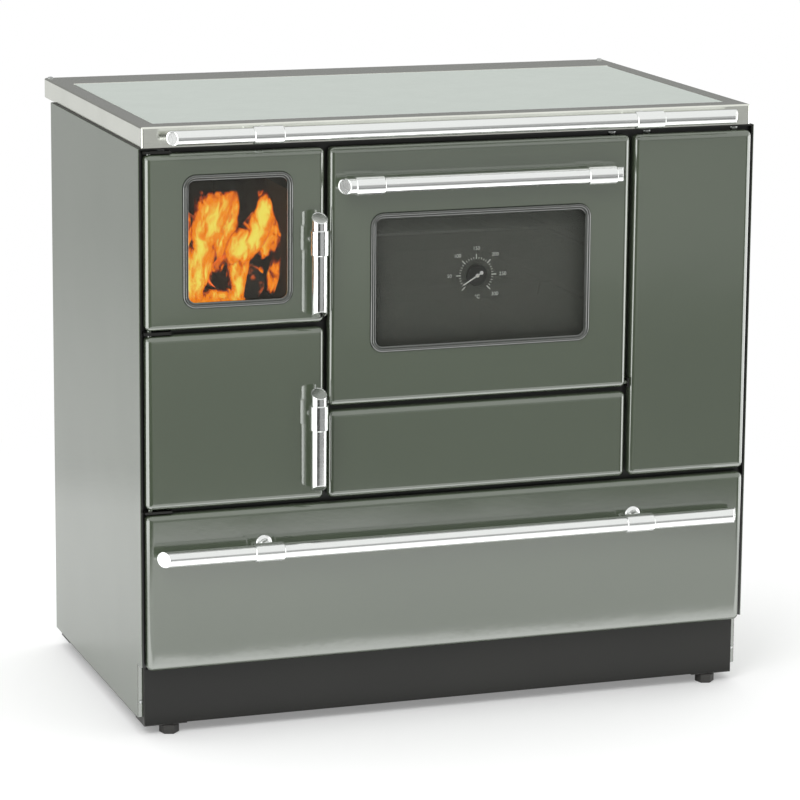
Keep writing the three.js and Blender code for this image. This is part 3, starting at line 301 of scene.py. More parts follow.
def pan(x, z, back, window=None):
    """A pan's skin; window is the (x, z, corner) of its opening."""
    outer = [
        front_ring(x, z, inset, max(pan_corner - inset, tight_corner), pan_front + depth)
        for inset, depth in roll(pan_roll, pan_roll_width)
    ]
    wall = [
        front_ring(x, z, 0, pan_corner, back),
        front_ring(x, z, pan_sheet, pan_corner - pan_sheet, back),
    ]
    inner = [
        front_ring(x, z, pan_sheet, pan_corner - pan_sheet, pan_front + pan_roll),
        front_ring(x, z, pan_roll, tight_corner, pan_front + pan_sheet),
    ]
    bm = bmesh.new()
    if not window:
        loft(bm, outer + wall + inner)
        return bm
    window_x, window_z, corner = window
    lip = [
        front_ring(window_x, window_z, 0, corner, pan_front + pan_sheet),
        front_ring(window_x, window_z, 0, corner, pan_front + lip_round),
        front_ring(window_x, window_z, -lip_round, corner + lip_round, pan_front),
    ]
    loft(bm, outer + wall + inner + lip, closed=True)
    return bm


left_column = (-0.443, -0.1905)
oven_column = (-0.1835, 0.258)
right_column = (0.265, 0.443)
door_back, cover_back = -0.2525, -0.2488
fire_row, ash_row, oven_row = (0.5735, 0.814), (0.325, 0.5665), (0.455, 0.814)
window_corner = 0.018


def trim_opening(trim):
    """The opening that a window's trim fills, as pan takes it."""
    low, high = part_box(trim)
    return (low.x, high.x), (low.z, high.z), window_corner


fronts = (
    ("fire_door", left_column, fire_row, door_back, trim_opening("fire_window_trim"), "fire_door_pan"),
    ("ash_door", left_column, ash_row, door_back, None, "ash_door_pan"),
    ("oven_door", oven_column, oven_row, door_back, trim_opening("oven_window_trim"), "oven_door_pan"),
    ("stove_body", oven_column, (0.325, 0.448), cover_back, None, "lower_cover"),
    ("stove_body", right_column, (0.325, 0.814), cover_back, None, "right_cover"),
    ("drawer", (-0.443, 0.443), (0.098, 0.318), door_back, None, "drawer_front"),
)


def rod(bm, start, end, radius, sides=16, cap=0.0):
    """A round bar from one point to another, its ends chamfered by cap."""
    start, end = Vector(start), Vector(end)
    length = (end - start).length
    profile = [(0, radius - cap), (cap, radius), (length - cap, radius), (length, radius - cap)]
    turned(bm, start, end - start, profile, sides)


def turned(bm, start, axis, profile, sides=48):
    """Skins (distance, radius) pairs round an axis."""
    axis = Vector(axis).normalized()
    side = axis.orthogonal().normalized()
    other = axis.cross(side)
    rings = []
    for distance, radius in profile:
        centre = Vector(start) + axis * distance
        turns = [2 * math.pi * i / sides for i in range(sides)]
        rings.append([centre + (side * math.cos(t) + other * math.sin(t)) * radius for t in turns])
    loft(bm, rings)


side_hinge, side_pin, pin_reach, pin_root = (-0.4365, -0.2585), 0.003, 0.0032, 0.001
oven_hinge, oven_pin = (-0.2605, 0.461), 0.0025
for body, x, z, back, window, node in fronts:
    bm = pan(x, z, back, window)
    if node in ("fire_door_pan", "ash_door_pan"):
        rod(bm, (*side_hinge, z[0] - pin_reach), (*side_hinge, z[0] + pin_root), side_pin)
        rod(bm, (*side_hinge, z[1] - pin_root), (*side_hinge, z[1] + pin_reach), side_pin)
    if node == "oven_door_pan":
        for start_x, end_x in ((-0.1876, -0.1825), (0.257, 0.2625)):
            rod(bm, (start_x, *oven_hinge), (end_x, *oven_hinge), oven_pin)
    shown(node + "_enamelled", bm, green_enamel, body, [node])


# ---------- Front frame and plinth ----------
# Black enamelled sheet, screwed to the carcass. The frame's edges show as shadow lines between the fronts,
# and the plinth closes the kick space.
black_enamel = enamel("black_enamel", (0.006, 0.006, 0.005), (0.009, 0.009, 0.008), gloss=0.28, index=1.5)


def dress(material, *names):
    """Gives CAD nodes that keep their shape a better material."""
    for name in names:
        mesh = nodes[name].data
        mesh.materials.clear()
        mesh.materials.append(material)
        mesh.shade_smooth()
        mesh.set_sharp_from_angle(angle=math.radians(35))


dress(black_enamel, "front_frame")
plinth_finish = enamel("plinth_black", (0.011, 0.011, 0.01), (0.017, 0.017, 0.015), gloss=0.35, index=1.3)
plinth_sheet, fold_inset = 0.002, 0.005
low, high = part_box("plinth_panel")
fold_low = (low.x + fold_inset, low.y + plinth_sheet / 2, high.z - plinth_sheet)
bm = bmesh.new()
block(bm, low, (high.x, low.y + plinth_sheet, high.z), 0.0007)
block(bm, fold_low, (high.x - fold_inset, high.y, high.z), 0.0006)
shown("plinth_sheet", bm, plinth_finish, "stove_body", ["plinth_panel"])


# ---------- Hob frame ----------
# Stainless sheet folded round the hob: a skirt, a rounded top edge, top strips and a ledge for the plate.
# It sits on the carcass, and two screws hold its back strip.
def brushed_steel(name, colour, roughness, depth):
    """Steel brushed from left to right: streaks in its roughness and relief, and faint handling marks."""
    made, place, paint = new_material(name, Metallic=1.0)
    streaks = place.stretched(1, 60, 60).noise(45.0, 4.0, 0.7)
    smudge = place.noise(14.0, 3.0)
    pale, dark = colour, tuple(c * 0.86 for c in colour)
    paint(
        Base_Color=(streaks * 0.7 + smudge * 0.3).step(0.3, 0.7).mix(pale, dark),
        Roughness=streaks * 0.16 + smudge * 0.08 + (roughness - 0.12),
        Normal=bumped(streaks, depth),
    )
    return made


low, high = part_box("hob_frame")
hob_x, hob_y, hob_z = (low.x, high.x), (low.y, high.y), (low.z, high.z)
opening_x, opening_y = (-0.42, 0.42), (-0.2205, 0.2210)
hob_sheet, hob_corner, hob_roll = 0.003, 0.0035, 0.0028
ledge_z, ledge_width = 0.8371, 0.014
opening_corner, opening_round = 0.002, 0.0012


def flat_ring(x, y, inset, radius, z):
    """A level rounded rectangle, inset from a box's edges."""
    inner_x, inner_y = (x[0] + inset, x[1] - inset), (y[0] + inset, y[1] - inset)
    return [(u, v, z) for u, v in rounded(inner_x, inner_y, radius, 4)]


outside = [
    (hob_sheet, 0.001, hob_z[0]),
    (0, hob_corner, hob_z[0]),
]
for inset, depth in reversed(roll(hob_roll, hob_roll)):
    outside.append((inset, max(hob_corner - inset, 0.0006), hob_z[1] - depth))
opening = [
    (-opening_round, 0.003, hob_z[1]),
    (0, opening_corner, hob_z[1] - opening_round),
    (0, opening_corner, ledge_z),
    (ledge_width, opening_corner, ledge_z),
    (ledge_width, opening_corner, ledge_z - hob_sheet),
    (-hob_sheet, opening_corner, ledge_z - hob_sheet),
    (-hob_sheet, opening_corner, hob_z[1] - hob_sheet),
]
skin = [flat_ring(hob_x, hob_y, *ring) for ring in outside]
skin += [flat_ring(opening_x, opening_y, *ring) for ring in opening]
skin.append(flat_ring(hob_x, hob_y, hob_sheet, 0.001, hob_z[1] - hob_sheet))
bm = bmesh.new()
loft(bm, skin, closed=True)
frame_steel = brushed_steel("stainless_frame", (0.87, 0.88, 0.81), roughness=0.16, depth=0.000012)
shown("hob_frame_folded", bm, frame_steel, "stove_body", ["hob_frame"], sharp=50)


# ---------- Hob plate ----------
# A ground steel plate, 8 mm thick with chamfered edges, dropped into the frame's opening.
low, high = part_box("hob_plate")
plate_x, plate_y, plate_z = (low.x, high.x), (low.y, high.y), (low.z, high.z)
plate_corner, chamfer = 0.004, 0.0012
plate = [
    (chamfer, 0.003, plate_z[0]),
    (0, plate_corner, plate_z[0] + chamfer),
    (0, plate_corner, plate_z[1] - chamfer),
    (0.0006, 0.0034, plate_z[1] - 0.0003),
    (0.0016, 0.0024, plate_z[1]),
]
bm = bmesh.new()
loft(bm, [flat_ring(plate_x, plate_y, *ring) for ring in plate])
ground_steel = brushed_steel("ground_steel", (0.9, 0.96, 0.91), roughness=0.5, depth=0.000006)
shown("hob_plate_ground", bm, ground_steel, "hob_top", ["hob_plate"])


# ---------- Towel rail and handles ----------
# Chromed round bars with slanted ends, each closed by a bright cap, gripped by sleeves on short posts.
chrome, place, paint = new_material("bright_chrome", Metallic=1.0, Base_Color=(0.86, 0.87, 0.86))
wipe = place.stretched(1, 12, 12).noise(30.0, 3.0)
paint(Roughness=wipe * 0.1 + 0.13)


def slanted_bar(bm, centre, along, length, radius):
    """A round bar with eased rims; its ends are cut at a slant, so that its back is longest."""
    along = Vector(along)
    across = along.cross(Vector((0, 1, 0)))
    slant, sides = math.tan(math.radians(30)), 48
    rim = ((0.0004, radius - 0.0018), (0.0, radius - 0.0014), (0.0, radius - 0.0005), (0.0005, radius))
    ends = [(-1, inward, size) for inward, size in rim]
    ends += [(1, inward, size) for inward, size in reversed(rim)]
    rings = []
    for end, inward, size in ends:
        ring = []
        for i in range(sides):
            turn = 2 * math.pi * i / sides
            out = across * (size * math.cos(turn)) + Vector((0, size * math.sin(turn), 0))
            ring.append(Vector(centre) + out + along * end * (length / 2 - inward + out.y * slant))
        rings.append(ring)
    loft(bm, rings)


def sleeve_profile(length, radius):
    """A thin sleeve's wall over a bar of that radius, with eased rims."""
    inner, outer = radius + 0.0002, radius + 0.002
    return [
        (0.0, inner),
        (0.0, outer - 0.001),
        (0.001, outer),
        (length - 0.001, outer),
        (length, outer - 0.001),
        (length, inner),
    ]


def bracket(name, node, body, centre, radius, face_y, rise, foot):
    """A sleeve round the bar at centre and its post back to face_y; foot is the rosette's radius."""
    length, post = 0.042, 0.0065
    bm = bmesh.new()
    turned(bm, (centre[0] - length / 2, centre[1], centre[2]), (1, 0, 0), sleeve_profile(length, radius))
    reach = face_y - centre[1]
    profile = [
        (radius * 0.6, post),
        (reach - 0.006, post),
        (reach - 0.0048, 0.0072),
        (reach - 0.0036, foot * 0.82),
        (reach - 0.002, foot * 0.96),
        (reach - 0.0008, foot),
        (reach, foot),
    ]
    turned(bm, (centre[0], centre[1], centre[2] + rise), (0, 1, 0), profile, 40)
    shown(name, bm, chrome, body, [node])


# Each bar: the start of its nodes' names, its body, centre, length and radius, and the distance from its
# middle to either bracket.
bars = {
    "rail": ("rail", "stove_body", (0.0, -0.2845, 0.838), 0.821, 0.010, 0.277),
    "oven": ("oven_handle", "oven_door", (0.03425, -0.2905, 0.764), 0.409, 0.011, 0.17),
    "drawer": ("drawer_handle", "drawer", (-0.003, -0.2905, 0.262), 0.847, 0.011, 0.2745),
}
# Each bar's posts: the face they stand on, how far above the bar they are, and the radius of their rosettes.
posts = {
    "rail": (-0.2543, 0.0, 0.009),
    "oven": (-0.2668, -0.004, 0.012),
    "drawer": (-0.2668, 0.007, 0.012),
}
for name, (stem, body, centre, length, radius, spread) in bars.items():
    bm = bmesh.new()
    slanted_bar(bm, centre, (1, 0, 0), length, radius)
    shown(name + "_tube", bm, chrome, body, [stem + "_bar"])
    for side, sign in (("left", -1), ("right", 1)):
        at = (centre[0] + sign * spread, centre[1], centre[2])
        bracket(f"{name}_{side}_sleeve", f"{stem}_bracket_{side}", body, at, radius, *posts[name])


# ---------- Door latches ----------
# A hanging bar like the handles; its sleeve sits on a spindle that turns a tongue behind the frame.
x, y, radius = -0.206, -0.2905, 0.011
hang, length, sleeve_length = 0.033, 0.134, 0.035
spindle = [(0.006, 0.0062), (0.0215, 0.0062), (0.0225, 0.005), (0.0495, 0.005)]
tongue_y, tongue_reach, tongue_half = (-0.2455, -0.2415), 0.0105, 0.003
latches = (("fire_latch", "fire_door_latch", 0.68875), ("ash_latch", "ash_door_latch", 0.44575))
for node, body, pivot_z in latches:
    bm = bmesh.new()
    slanted_bar(bm, (x, y, pivot_z - hang), (0, 0, 1), length, radius)
    turned(bm, (x, y, pivot_z - sleeve_length / 2), (0, 0, 1), sleeve_profile(sleeve_length, radius))
    turned(bm, (x, y, pivot_z), (0, 1, 0), spindle, 32)
    tongue_low = (x, tongue_y[0], pivot_z - tongue_half)
    tongue_high = (x + tongue_reach, tongue_y[1], pivot_z + tongue_half)
    block(bm, tongue_low, tongue_high, 0.0006)
    shown(node + "_handle", bm, chrome, body, [node])


# ---------- Windows ----------
# Ceramic glass, held by a half-round enamelled bead with a slim lip inside it.
trim_finish = enamel("trim_enamel", (0.022, 0.026, 0.02), (0.028, 0.032, 0.025), gloss=0.03, index=2.25)


def window_trim(name, node, body):
    low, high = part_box(node)
    x, z = (low.x, high.x), (low.z, high.z)
    # (inset, depth) pairs round the bead and over the lip, from the outside to the opening.
    section = [
        (0.0, 0.0045),
        (0.0, 0.0022),
        (0.0004, 0.0010),
        (0.0013, 0.0003),
        (0.0025, 0.0),
        (0.0037, 0.0003),
        (0.0046, 0.0010),
        (0.0050, 0.0021),
        (0.0056, 0.0021),
        (0.0070, 0.0023),
        (0.0076, 0.0028),
        (0.0078, 0.0045),
    ]
    rings = [front_ring(x, z, inset, window_corner - inset, low.y + depth, 10) for inset, depth in section]
    bm = bmesh.new()
    loft(bm, rings, closed=True)
    shown(name, bm, trim_finish, body, [node])


window_trim("fire_window_bead", "fire_window_trim", "fire_door")
window_trim("oven_window_bead", "oven_window_trim", "oven_door")


def smoky_glass(name, tint, alpha):
    made, place, paint = new_material(name, IOR=1.55, Alpha=alpha, Base_Color=tint)
    haze = place.noise(9.0, 3.0)
    paint(Roughness=haze * 0.05 + 0.02)
    return made


dress(smoky_glass("fire_glass", (0.08, 0.082, 0.07), 0.16), "fire_door_glass")
dress(smoky_glass("oven_glass", (0.02, 0.021, 0.019), 0.15), "oven_door_glass")
dress(smoky_glass("oven_inner_glass", (0.19, 0.2, 0.17), 0.4), "oven_inner_glass")


# ---------- Hidden sheet, castings, bricks and seals ----------
# These keep the CAD shapes; their finishes follow what each is made of.
dark_sheet, place, paint = new_material("dark_sheet_steel")
grain = place.noise(500.0, 3.0)
heat = place.noise(6.0, 3.0)
paint(
    Base_Color=(heat * 0.6 + grain * 0.4).step(0.3, 0.7).mix((0.03, 0.03, 0.029), (0.05, 0.047, 0.043)),
    Roughness=grain * 0.2 + 0.45,
    Normal=bumped(grain, 0.00004),
)
dress(dark_sheet, "carcass", "firebox_shell", "ash_housing", "flue_box")
dress(dark_sheet, "fire_door_liner", "ash_door_liner", "oven_door_inner")

zinc, place, paint = new_material("zinc_plate", Metallic=1.0)
spangle = place.node("TexVoronoi", {"Vector": place, "Scale": 70.0}, output=1)
paint(
    Base_Color=place.noise(30.0, 4.0).step(0.35, 0.65).mix((0.42, 0.43, 0.43), (0.52, 0.53, 0.52)),
    Roughness=spangle.node("SeparateColor", {0: spangle}) * 0.15 + 0.32,
)
dress(zinc, "back_panel", "ash_pan", "air_slide", "drawer_bin")

cast_iron, place, paint = new_material("cast_iron_black")
pits = place.noise(260.0, 5.0, 0.7)
paint(
    Base_Color=pits.mix((0.018, 0.018, 0.018), (0.045, 0.043, 0.04)),
    Roughness=pits * 0.25 + 0.55,
    Normal=bumped(pits, 0.0006, 0.6),
)
dress(cast_iron, "grate")

lining, place, paint = new_material("oven_lining")
fleck = place.noise(420.0, 2.0).step(0.62, 0.7)
paint(
    Base_Color=fleck.mix((0.02, 0.023, 0.02), (0.16, 0.17, 0.16)),
    Roughness=place.noise(90.0) * 0.1 + 0.2,
)
dress(lining, "oven_box", "baking_tray")

brick, place, paint = new_material("firebrick")
grit = place.noise(350.0, 5.0, 0.7)
soot = place.noise(9.0, 4.0)
paint(
    Base_Color=(soot * 0.8 + grit * 0.2).step(0.35, 0.65).mix((0.085, 0.075, 0.055), (0.03, 0.027, 0.022)),
    Roughness=grit * 0.1 + 0.85,
    Normal=bumped(grit, 0.0006),
)
dress(brick, "firebrick_left", "firebrick_right", "firebrick_rear")

rope, place, paint = new_material("rope_seal")
braid = place.node("TexWave", {"Vector": place, "Scale": 90.0, "Distortion": 1.5}, output=1)
fibre = place.noise(1200.0, 2.0)
paint(
    Base_Color=(braid * 0.6 + fibre * 0.4).mix((0.06, 0.058, 0.052), (0.22, 0.21, 0.19)),
    Roughness=fibre * 0.1 + 0.85,
    Normal=bumped(braid + fibre * 0.4, 0.0008),
)
dress(rope, "hob_seal", "fire_door_seal", "oven_door_seal")

black_plastic, place, paint = new_material("black_plastic")
grain = place.noise(600.0, 2.0)
paint(
    Base_Color=grain.mix((0.02, 0.021, 0.018), (0.035, 0.036, 0.03)),
    Roughness=grain * 0.2 + 0.4,
    Normal=bumped(grain, 0.00005),
)
dress(black_plastic, "front_left_roller", "front_right_roller", "rear_left_roller", "rear_right_roller")


# ---------- Feet ----------
# Blackened hexagon-headed screws, 24 mm across flats, which level the stove from below its base.
flats, head_edge = 0.024, 0.0015
stem_start, stem_radius, stem_length = 0.012, 0.004, 0.0387
for node in ("front_left_foot", "front_right_foot", "rear_left_foot", "rear_right_foot"):
    low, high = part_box(node)
    x, y = (low.x + high.x) / 2, (low.y + high.y) / 2
    corner = flats / 2 / math.cos(math.radians(30))
    head = [(0, corner - head_edge), (0.0012, corner), (0.0112, corner), (0.0127, corner - 0.002)]
    stem = [(0, stem_radius), (0.037, stem_radius), (stem_length, 0.003)]
    bm = bmesh.new()
    turned(bm, (x, y, low.z), (0, 0, 1), head, 6)
    turned(bm, (x, y, stem_start), (0, 0, 1), stem, 24)
    shown(node + "_screw", bm, dark_sheet, node + "_body", [node])


# ---------- Flue collar ----------
# A spun steel collar for a 120 mm pipe, with its flange on the back panel.
low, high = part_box("flue_collar")
axis_start = Vector(((low.x + high.x) / 2, low.y, (low.z + high.z) / 2))
length, bore, wall, flange_radius, sides = high.y - low.y, 0.057, 0.059, 0.075, 96
profile = [
    (0.0, bore),
    (0.0, wall),
    (0.0193, wall),
    (0.0193, 0.0742),
    (0.0197, flange_radius),
    (0.0209, flange_radius),
    (0.0213, 0.0742),
    (0.0213, 0.061),
    (0.0233, wall),
    (length - 0.002, wall),
    (length - 0.001, 0.0594),
    (length, 0.0588),
    (length, bore),
]
turns = [2 * math.pi * i / sides for i in range(sides)]
rings = [
    [axis_start + Vector((radius * math.cos(t), distance, radius * math.sin(t))) for t in turns]
    for distance, radius in profile
]
bm = bmesh.new()
loft(bm, rings, closed=True)
shown("flue_collar_spun", bm, dark_sheet, "stove_body", ["flue_collar"])


# ---------- Oven grid ----------
# Chromed wire, welded: a frame with fifteen thin rods, resting on the oven's pressed runners.
low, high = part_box("oven_grid")
wire, thin_wire, rods = 0.003, 0.0016, 15
x, y, z = (low.x + wire, high.x - wire), (low.y + wire, high.y - wire), low.z + wire
bm = bmesh.new()
for side_x in x:
    rod(bm, (side_x, low.y, z), (side_x, high.y, z), wire, 16, 0.001)
for end_y in y:
    rod(bm, (low.x, end_y, z), (high.x, end_y, z), wire, 16, 0.001)
for i in range(rods):
    rod_x = x[0] + (x[1] - x[0]) * (i + 1) / (rods + 1)
    rod(bm, (rod_x, y[0], z + wire / 2), (rod_x, y[1], z + wire / 2), thin_wire, 12)
shown("oven_grid_wire", bm, chrome, "stove_body", ["oven_grid"])


# ---------- Oven thermometer ----------
# A black hub on the inner glass, a white needle, and a scale of 0 to 300 degrees printed on the glass.
low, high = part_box("thermometer_hub")
dial = Vector(((low.x + high.x) / 2, 0, (low.z + high.z) / 2))
bm = bmesh.new()
profile = [(0.0, 0.015), (0.0035, 0.015), (0.0043, 0.0144), (0.0047, 0.0135), (0.0047, 0.0008)]
turned(bm, (dial.x, high.y, dial.z), (0, -1, 0), profile, 64)
shown("thermometer_knob", bm, black_plastic, "oven_door", ["thermometer_hub"])

white_paint, place, paint = new_material("needle_white")
paint(
    Base_Color=place.noise(300.0).mix((0.78, 0.78, 0.74), (0.86, 0.86, 0.83)),
    Roughness=place.noise(500.0) * 0.1 + 0.4,
)
low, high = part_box("thermometer_needle")
bearing = math.radians(-121)  # clockwise from straight up, as the scale below
along = Vector((math.sin(bearing), 0, math.cos(bearing)))
across = Vector((along.z, 0, -along.x))
centre = Vector((dial.x, 0, dial.z))
bm = bmesh.new()
blade = [(-0.0065, 0.0008), (0.003, 0.0009), (0.0235, 0.0006), (0.0242, 0.0003)]
outline = blade + [(distance, -width) for distance, width in reversed(blade)]


def on_needle(distance, width, y):
    """A point of the needle, from its axis towards its tip and across it."""
    return centre + along * distance + across * width + Vector((0, y, 0))


prism(bm, outline, (low.y, high.y), on_needle, 0.0001, 1)
boss = [(0, 0.0026), (0.0009, 0.0026), (0.001, 0.0022)]
tail = [(0, 0.0026), (0.0007, 0.0026), (0.001, 0.002)]
turned(bm, on_needle(0, 0, high.y), (0, -1, 0), boss, 32)
turned(bm, on_needle(-0.007, 0, high.y), (0, -1, 0), tail, 32)
shown("thermometer_pointer", bm, white_paint, "needle", ["thermometer_needle"])

print_ink, place, paint = new_material("dial_print")
paint(
    Base_Color=place.noise(900.0).mix((0.6, 0.62, 0.58), (0.7, 0.72, 0.68)),
    Roughness=place.noise(200.0) * 0.1 + 0.5,
)
print_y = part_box("oven_inner_glass")[0].y - 0.0001
middle = Vector((dial.x, print_y, dial.z))
long_mark, short_mark, marks_start = (0.0298, 0.0006), (0.0258, 0.0003), 0.0226


def reading_turn(reading):
    """A reading's angle, clockwise from straight up: 0 to 300 over three quarters of a turn."""
    return math.radians(-135 + reading * 0.9)


bm = bmesh.new()
for i in range(31):
    reading = 10 * i
    turn = reading_turn(reading)
    outer, half = long_mark if reading % 50 == 0 else short_mark
    out = Vector((math.sin(turn), 0, math.cos(turn)))
    side = Vector((out.z, 0, -out.x)) * half
    near, far = middle + out * marks_start, middle + out * outer
    corners = [near - side, near + side, far + side, far - side]
    bm.faces.new([bm.verts.new(c) for c in corners])


def lettered(bm, text, x, z, height):
    """Flat lettering, centred on a point of the glass, facing forwards."""
    curve = bpy.data.curves.new("lettering", "FONT")
    curve.body = text
    curve.size = height
    curve.align_x = "CENTER"
    curve.align_y = "CENTER"
    holder = bpy.data.objects.new("lettering", curve)
    bpy.context.scene.collection.objects.link(holder)
    bpy.context.view_layer.update()
    mesh = bpy.data.meshes.new_from_object(holder.evaluated_get(bpy.context.evaluated_depsgraph_get()))
    mesh.transform(Matrix.Translation((x, print_y, z)) @ Matrix.Rotation(math.radians(90), 4, "X"))
    bm.from_mesh(mesh)
    bpy.data.objects.remove(holder)
    bpy.data.curves.remove(curve)
    bpy.data.meshes.remove(mesh)


for reading in (50, 100, 150, 200, 250, 300):
    turn = reading_turn(reading)
    away = 0.0375 if reading == 150 else 0.0395
    lettered(bm, str(reading), dial.x + away * math.sin(turn), dial.z + away * math.cos(turn), 0.0072)
lettered(bm, "°C", dial.x + 0.002, dial.z - 0.031, 0.0075)
shown("thermometer_scale", bm, print_ink, "oven_door")


# ---------- Gap bolts and frame screws ----------
# Bright dome-headed steel bolts under the hob frame, a small screw in each kick flange, and two screws
# in the frame's back strip.
bolt_head = [(0, 0.0055), (0.0012, 0.0055), (0.0028, 0.0042), (0.0036, 0.0015)]
flange_head = [(0, 0.0026), (0.0008, 0.0024), (0.0014, 0.001)]
screw_head = [(0, 0.0042), (0.0006, 0.0042), (0.0018, 0.003), (0.0022, 0.001)]
bm = bmesh.new()
for bolt_x in (-0.417, 0.236, 0.289, 0.422):
    turned(bm, (bolt_x, -0.2485, 0.8182), (0, -1, 0), bolt_head, 24)
for screw_x in (-0.4455, 0.4455):
    turned(bm, (screw_x, -0.2355, 0.0475), (0, -1, 0), flange_head, 20)
shown("front_bolts", bm, zinc, "stove_body")
bm = bmesh.new()
for screw_x in (-0.437, 0.437):
    turned(bm, (screw_x, 0.294, 0.8499), (0, 0, 1), screw_head, 24)
shown("frame_screws", bm, zinc, "stove_body")


# ---------- Fire ----------
# Flames over charred split logs on the grate, as the photograph shows a fire behind the glass.
# The flames are soft-edged sheets that glow; neither they nor the logs have a CAD solid.
char, place, paint = new_material("charred_log")
bark = place.stretched(1, 0.15, 1).noise(70.0, 5.0, 0.7)
ember = place.noise(26.0, 4.0).step(0.55, 0.68)
paint(
    Base_Color=bark.mix((0.01, 0.009, 0.008), (0.05, 0.04, 0.032)),
    Roughness=bark * 0.2 + 0.75,
    Normal=bumped(bark, 0.004),
    Emission_Color=ember.mix((0.0, 0.0, 0.0), (1.0, 0.16, 0.02)),
    Emission_Strength=1.5,
)
random.seed(7)
grate_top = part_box("grate")[1].z
bm = bmesh.new()
logs = (  # x, height of the middle over the grate, slant in degrees, radius
    (-0.36, 0.03, 4, 0.028),
    (-0.285, 0.029, -5, 0.027),
    (-0.322, 0.074, 8, 0.026),
)
log_front, log_length, parts, sides = -0.19, 0.27, 11, 18
for log_x, log_z, tilt, radius in logs:
    rings = []
    for k in range(parts + 1):
        y = log_front + log_length * k / parts
        swell = radius * (0.75 if k in (0, parts) else 1.0)
        offset = math.tan(math.radians(tilt)) * (y + 0.05)
        ring = []
        for i in range(sides):
            t = 2 * math.pi * i / sides
            r = swell * (1 + 0.07 * math.sin(3 * t + log_x * 90) + random.uniform(-0.03, 0.03))
            ring.append((log_x + offset + r * math.cos(t), y, grate_top + log_z + r * math.sin(t)))
        rings.append(ring)
    loft(bm, rings)
shown("burning_logs", bm, char, "stove_body")

black = (0.0, 0.0, 0.0)
flame, place, paint = new_material("flame", Roughness=1.0, Specular_IOR_Level=0.0, Base_Color=black)
core = place.node("Attribute", output="Fac", attribute_name="core")
x, y, z = place.split()
sway = place.noise(28.0, 2.0) - 0.5
licks = place.node("CombineXYZ", {0: x + sway * 0.03, 1: y, 2: z * 0.4 + sway * 0.01})
flicker = licks.noise(70.0, 3.0, 0.6) - 0.5
wisp = licks.noise(200.0, 2.0) - 0.5
heat = core * 0.75 + flicker * 2.4 + wisp * 0.6
hot = heat.step(0.45, 1.1).mix((1.0, 0.26, 0.001), (1.0, 0.84, 0.12))
glow = heat.step(0.05, 0.5).mix((0.8, 0.05, 0.0), hot)
paint(Emission_Color=glow, Emission_Strength=1.15, Alpha=heat.step(0.0, 0.45) * core.step(0.0, 0.2))


def curve(points, t):
    """A place on the smooth curve through points, t running from 0 to 1."""
    last = len(points) - 1
    i = min(int(t * last), last - 1)
    nearby = [points[max(0, min(j, last))] for j in (i - 1, i, i + 1, i + 2)]
    f = t * last - i
    blend = (-f + 2 * f**2 - f**3, 2 - 5 * f**2 + 3 * f**3, f + 4 * f**2 - 3 * f**3, -(f**2) + f**3)
    return [sum(w * p[k] for w, p in zip(blend, nearby)) / 2 for k in range(3)]


def tongue(bm, core, y, peak, points):
    """A soft sheet along (x, z, half width) points.

    Its core value falls from peak on its middle line to 0 at its edges.
    """
    rows, columns = 26, 12
    grid = []
    for j in range(rows + 1):
        t = j / rows
        x, z, half = curve(points, t)
        ahead_x, ahead_z, _ = curve(points, min(t + 0.02, 1.0))
        back_x, back_z, _ = curve(points, max(t - 0.02, 0.0))
        run = Vector((ahead_x - back_x, 0, ahead_z - back_z)).normalized()
        for i in range(columns + 1):
            s = 2 * i / columns - 1
            spot = Vector((x, y + 0.008 * s * s, z)) + Vector((run.z, 0, -run.x)) * half * s
            vert = bm.verts.new(spot)
            vert[core] = peak * (1 - s * s) * min(1.0, 6 * t, 4 * (1 - t))
            grid.append(vert)
    for j in range(rows):
        for i in range(columns):
            corner = j * (columns + 1) + i
            above = corner + columns + 1
            bm.faces.new((grid[corner], grid[corner + 1], grid[above + 1], grid[above]))


tongues = (  # y, peak, points from its root to its tip
    (
        -0.2,
        1.15,
        (
            (-0.362, 0.590, 0.016),
            (-0.352, 0.640, 0.022),
            (-0.338, 0.690, 0.024),
            (-0.326, 0.725, 0.03),
            (-0.324, 0.752, 0.03),
        ),
    ),
    (
        -0.19,
        0.9,
        ((-0.325, 0.635, 0.012), (-0.316, 0.680, 0.022), (-0.306, 0.715, 0.02), (-0.302, 0.750, 0.014)),
    ),
    (
        -0.18,
        0.62,
        ((-0.372, 0.590, 0.016), (-0.366, 0.640, 0.018), (-0.364, 0.690, 0.014), (-0.362, 0.720, 0.008)),
    ),
    (
        -0.205,
        1.3,
        (
            (-0.300, 0.645, 0.016),
            (-0.288, 0.672, 0.024),
            (-0.268, 0.694, 0.022),
            (-0.257, 0.722, 0.015),
            (-0.262, 0.752, 0.007),
        ),
    ),
    (
        -0.185,
        0.85,
        ((-0.262, 0.655, 0.012), (-0.246, 0.672, 0.02), (-0.244, 0.700, 0.016), (-0.250, 0.728, 0.006)),
    ),
    (
        -0.195,
        1.1,
        ((-0.300, 0.588, 0.02), (-0.294, 0.615, 0.016), (-0.290, 0.645, 0.018), (-0.285, 0.680, 0.014)),
    ),
    (
        -0.19,
        0.7,
        ((-0.290, 0.618, 0.01), (-0.272, 0.618, 0.01), (-0.259, 0.630, 0.006), (-0.256, 0.642, 0.003)),
    ),
    (
        -0.175,
        0.8,
        ((-0.378, 0.598, 0.014), (-0.340, 0.596, 0.014), (-0.305, 0.597, 0.013), (-0.265, 0.600, 0.01)),
    ),
    (
        -0.18,
        0.5,
        ((-0.242, 0.600, 0.008), (-0.236, 0.625, 0.01), (-0.230, 0.655, 0.006)),
    ),
)
bm = bmesh.new()
core = bm.verts.layers.float.new("core")
for y, peak, points in tongues:
    tongue(bm, core, y, peak, points)
shown("flames", bm, flame, "stove_body")


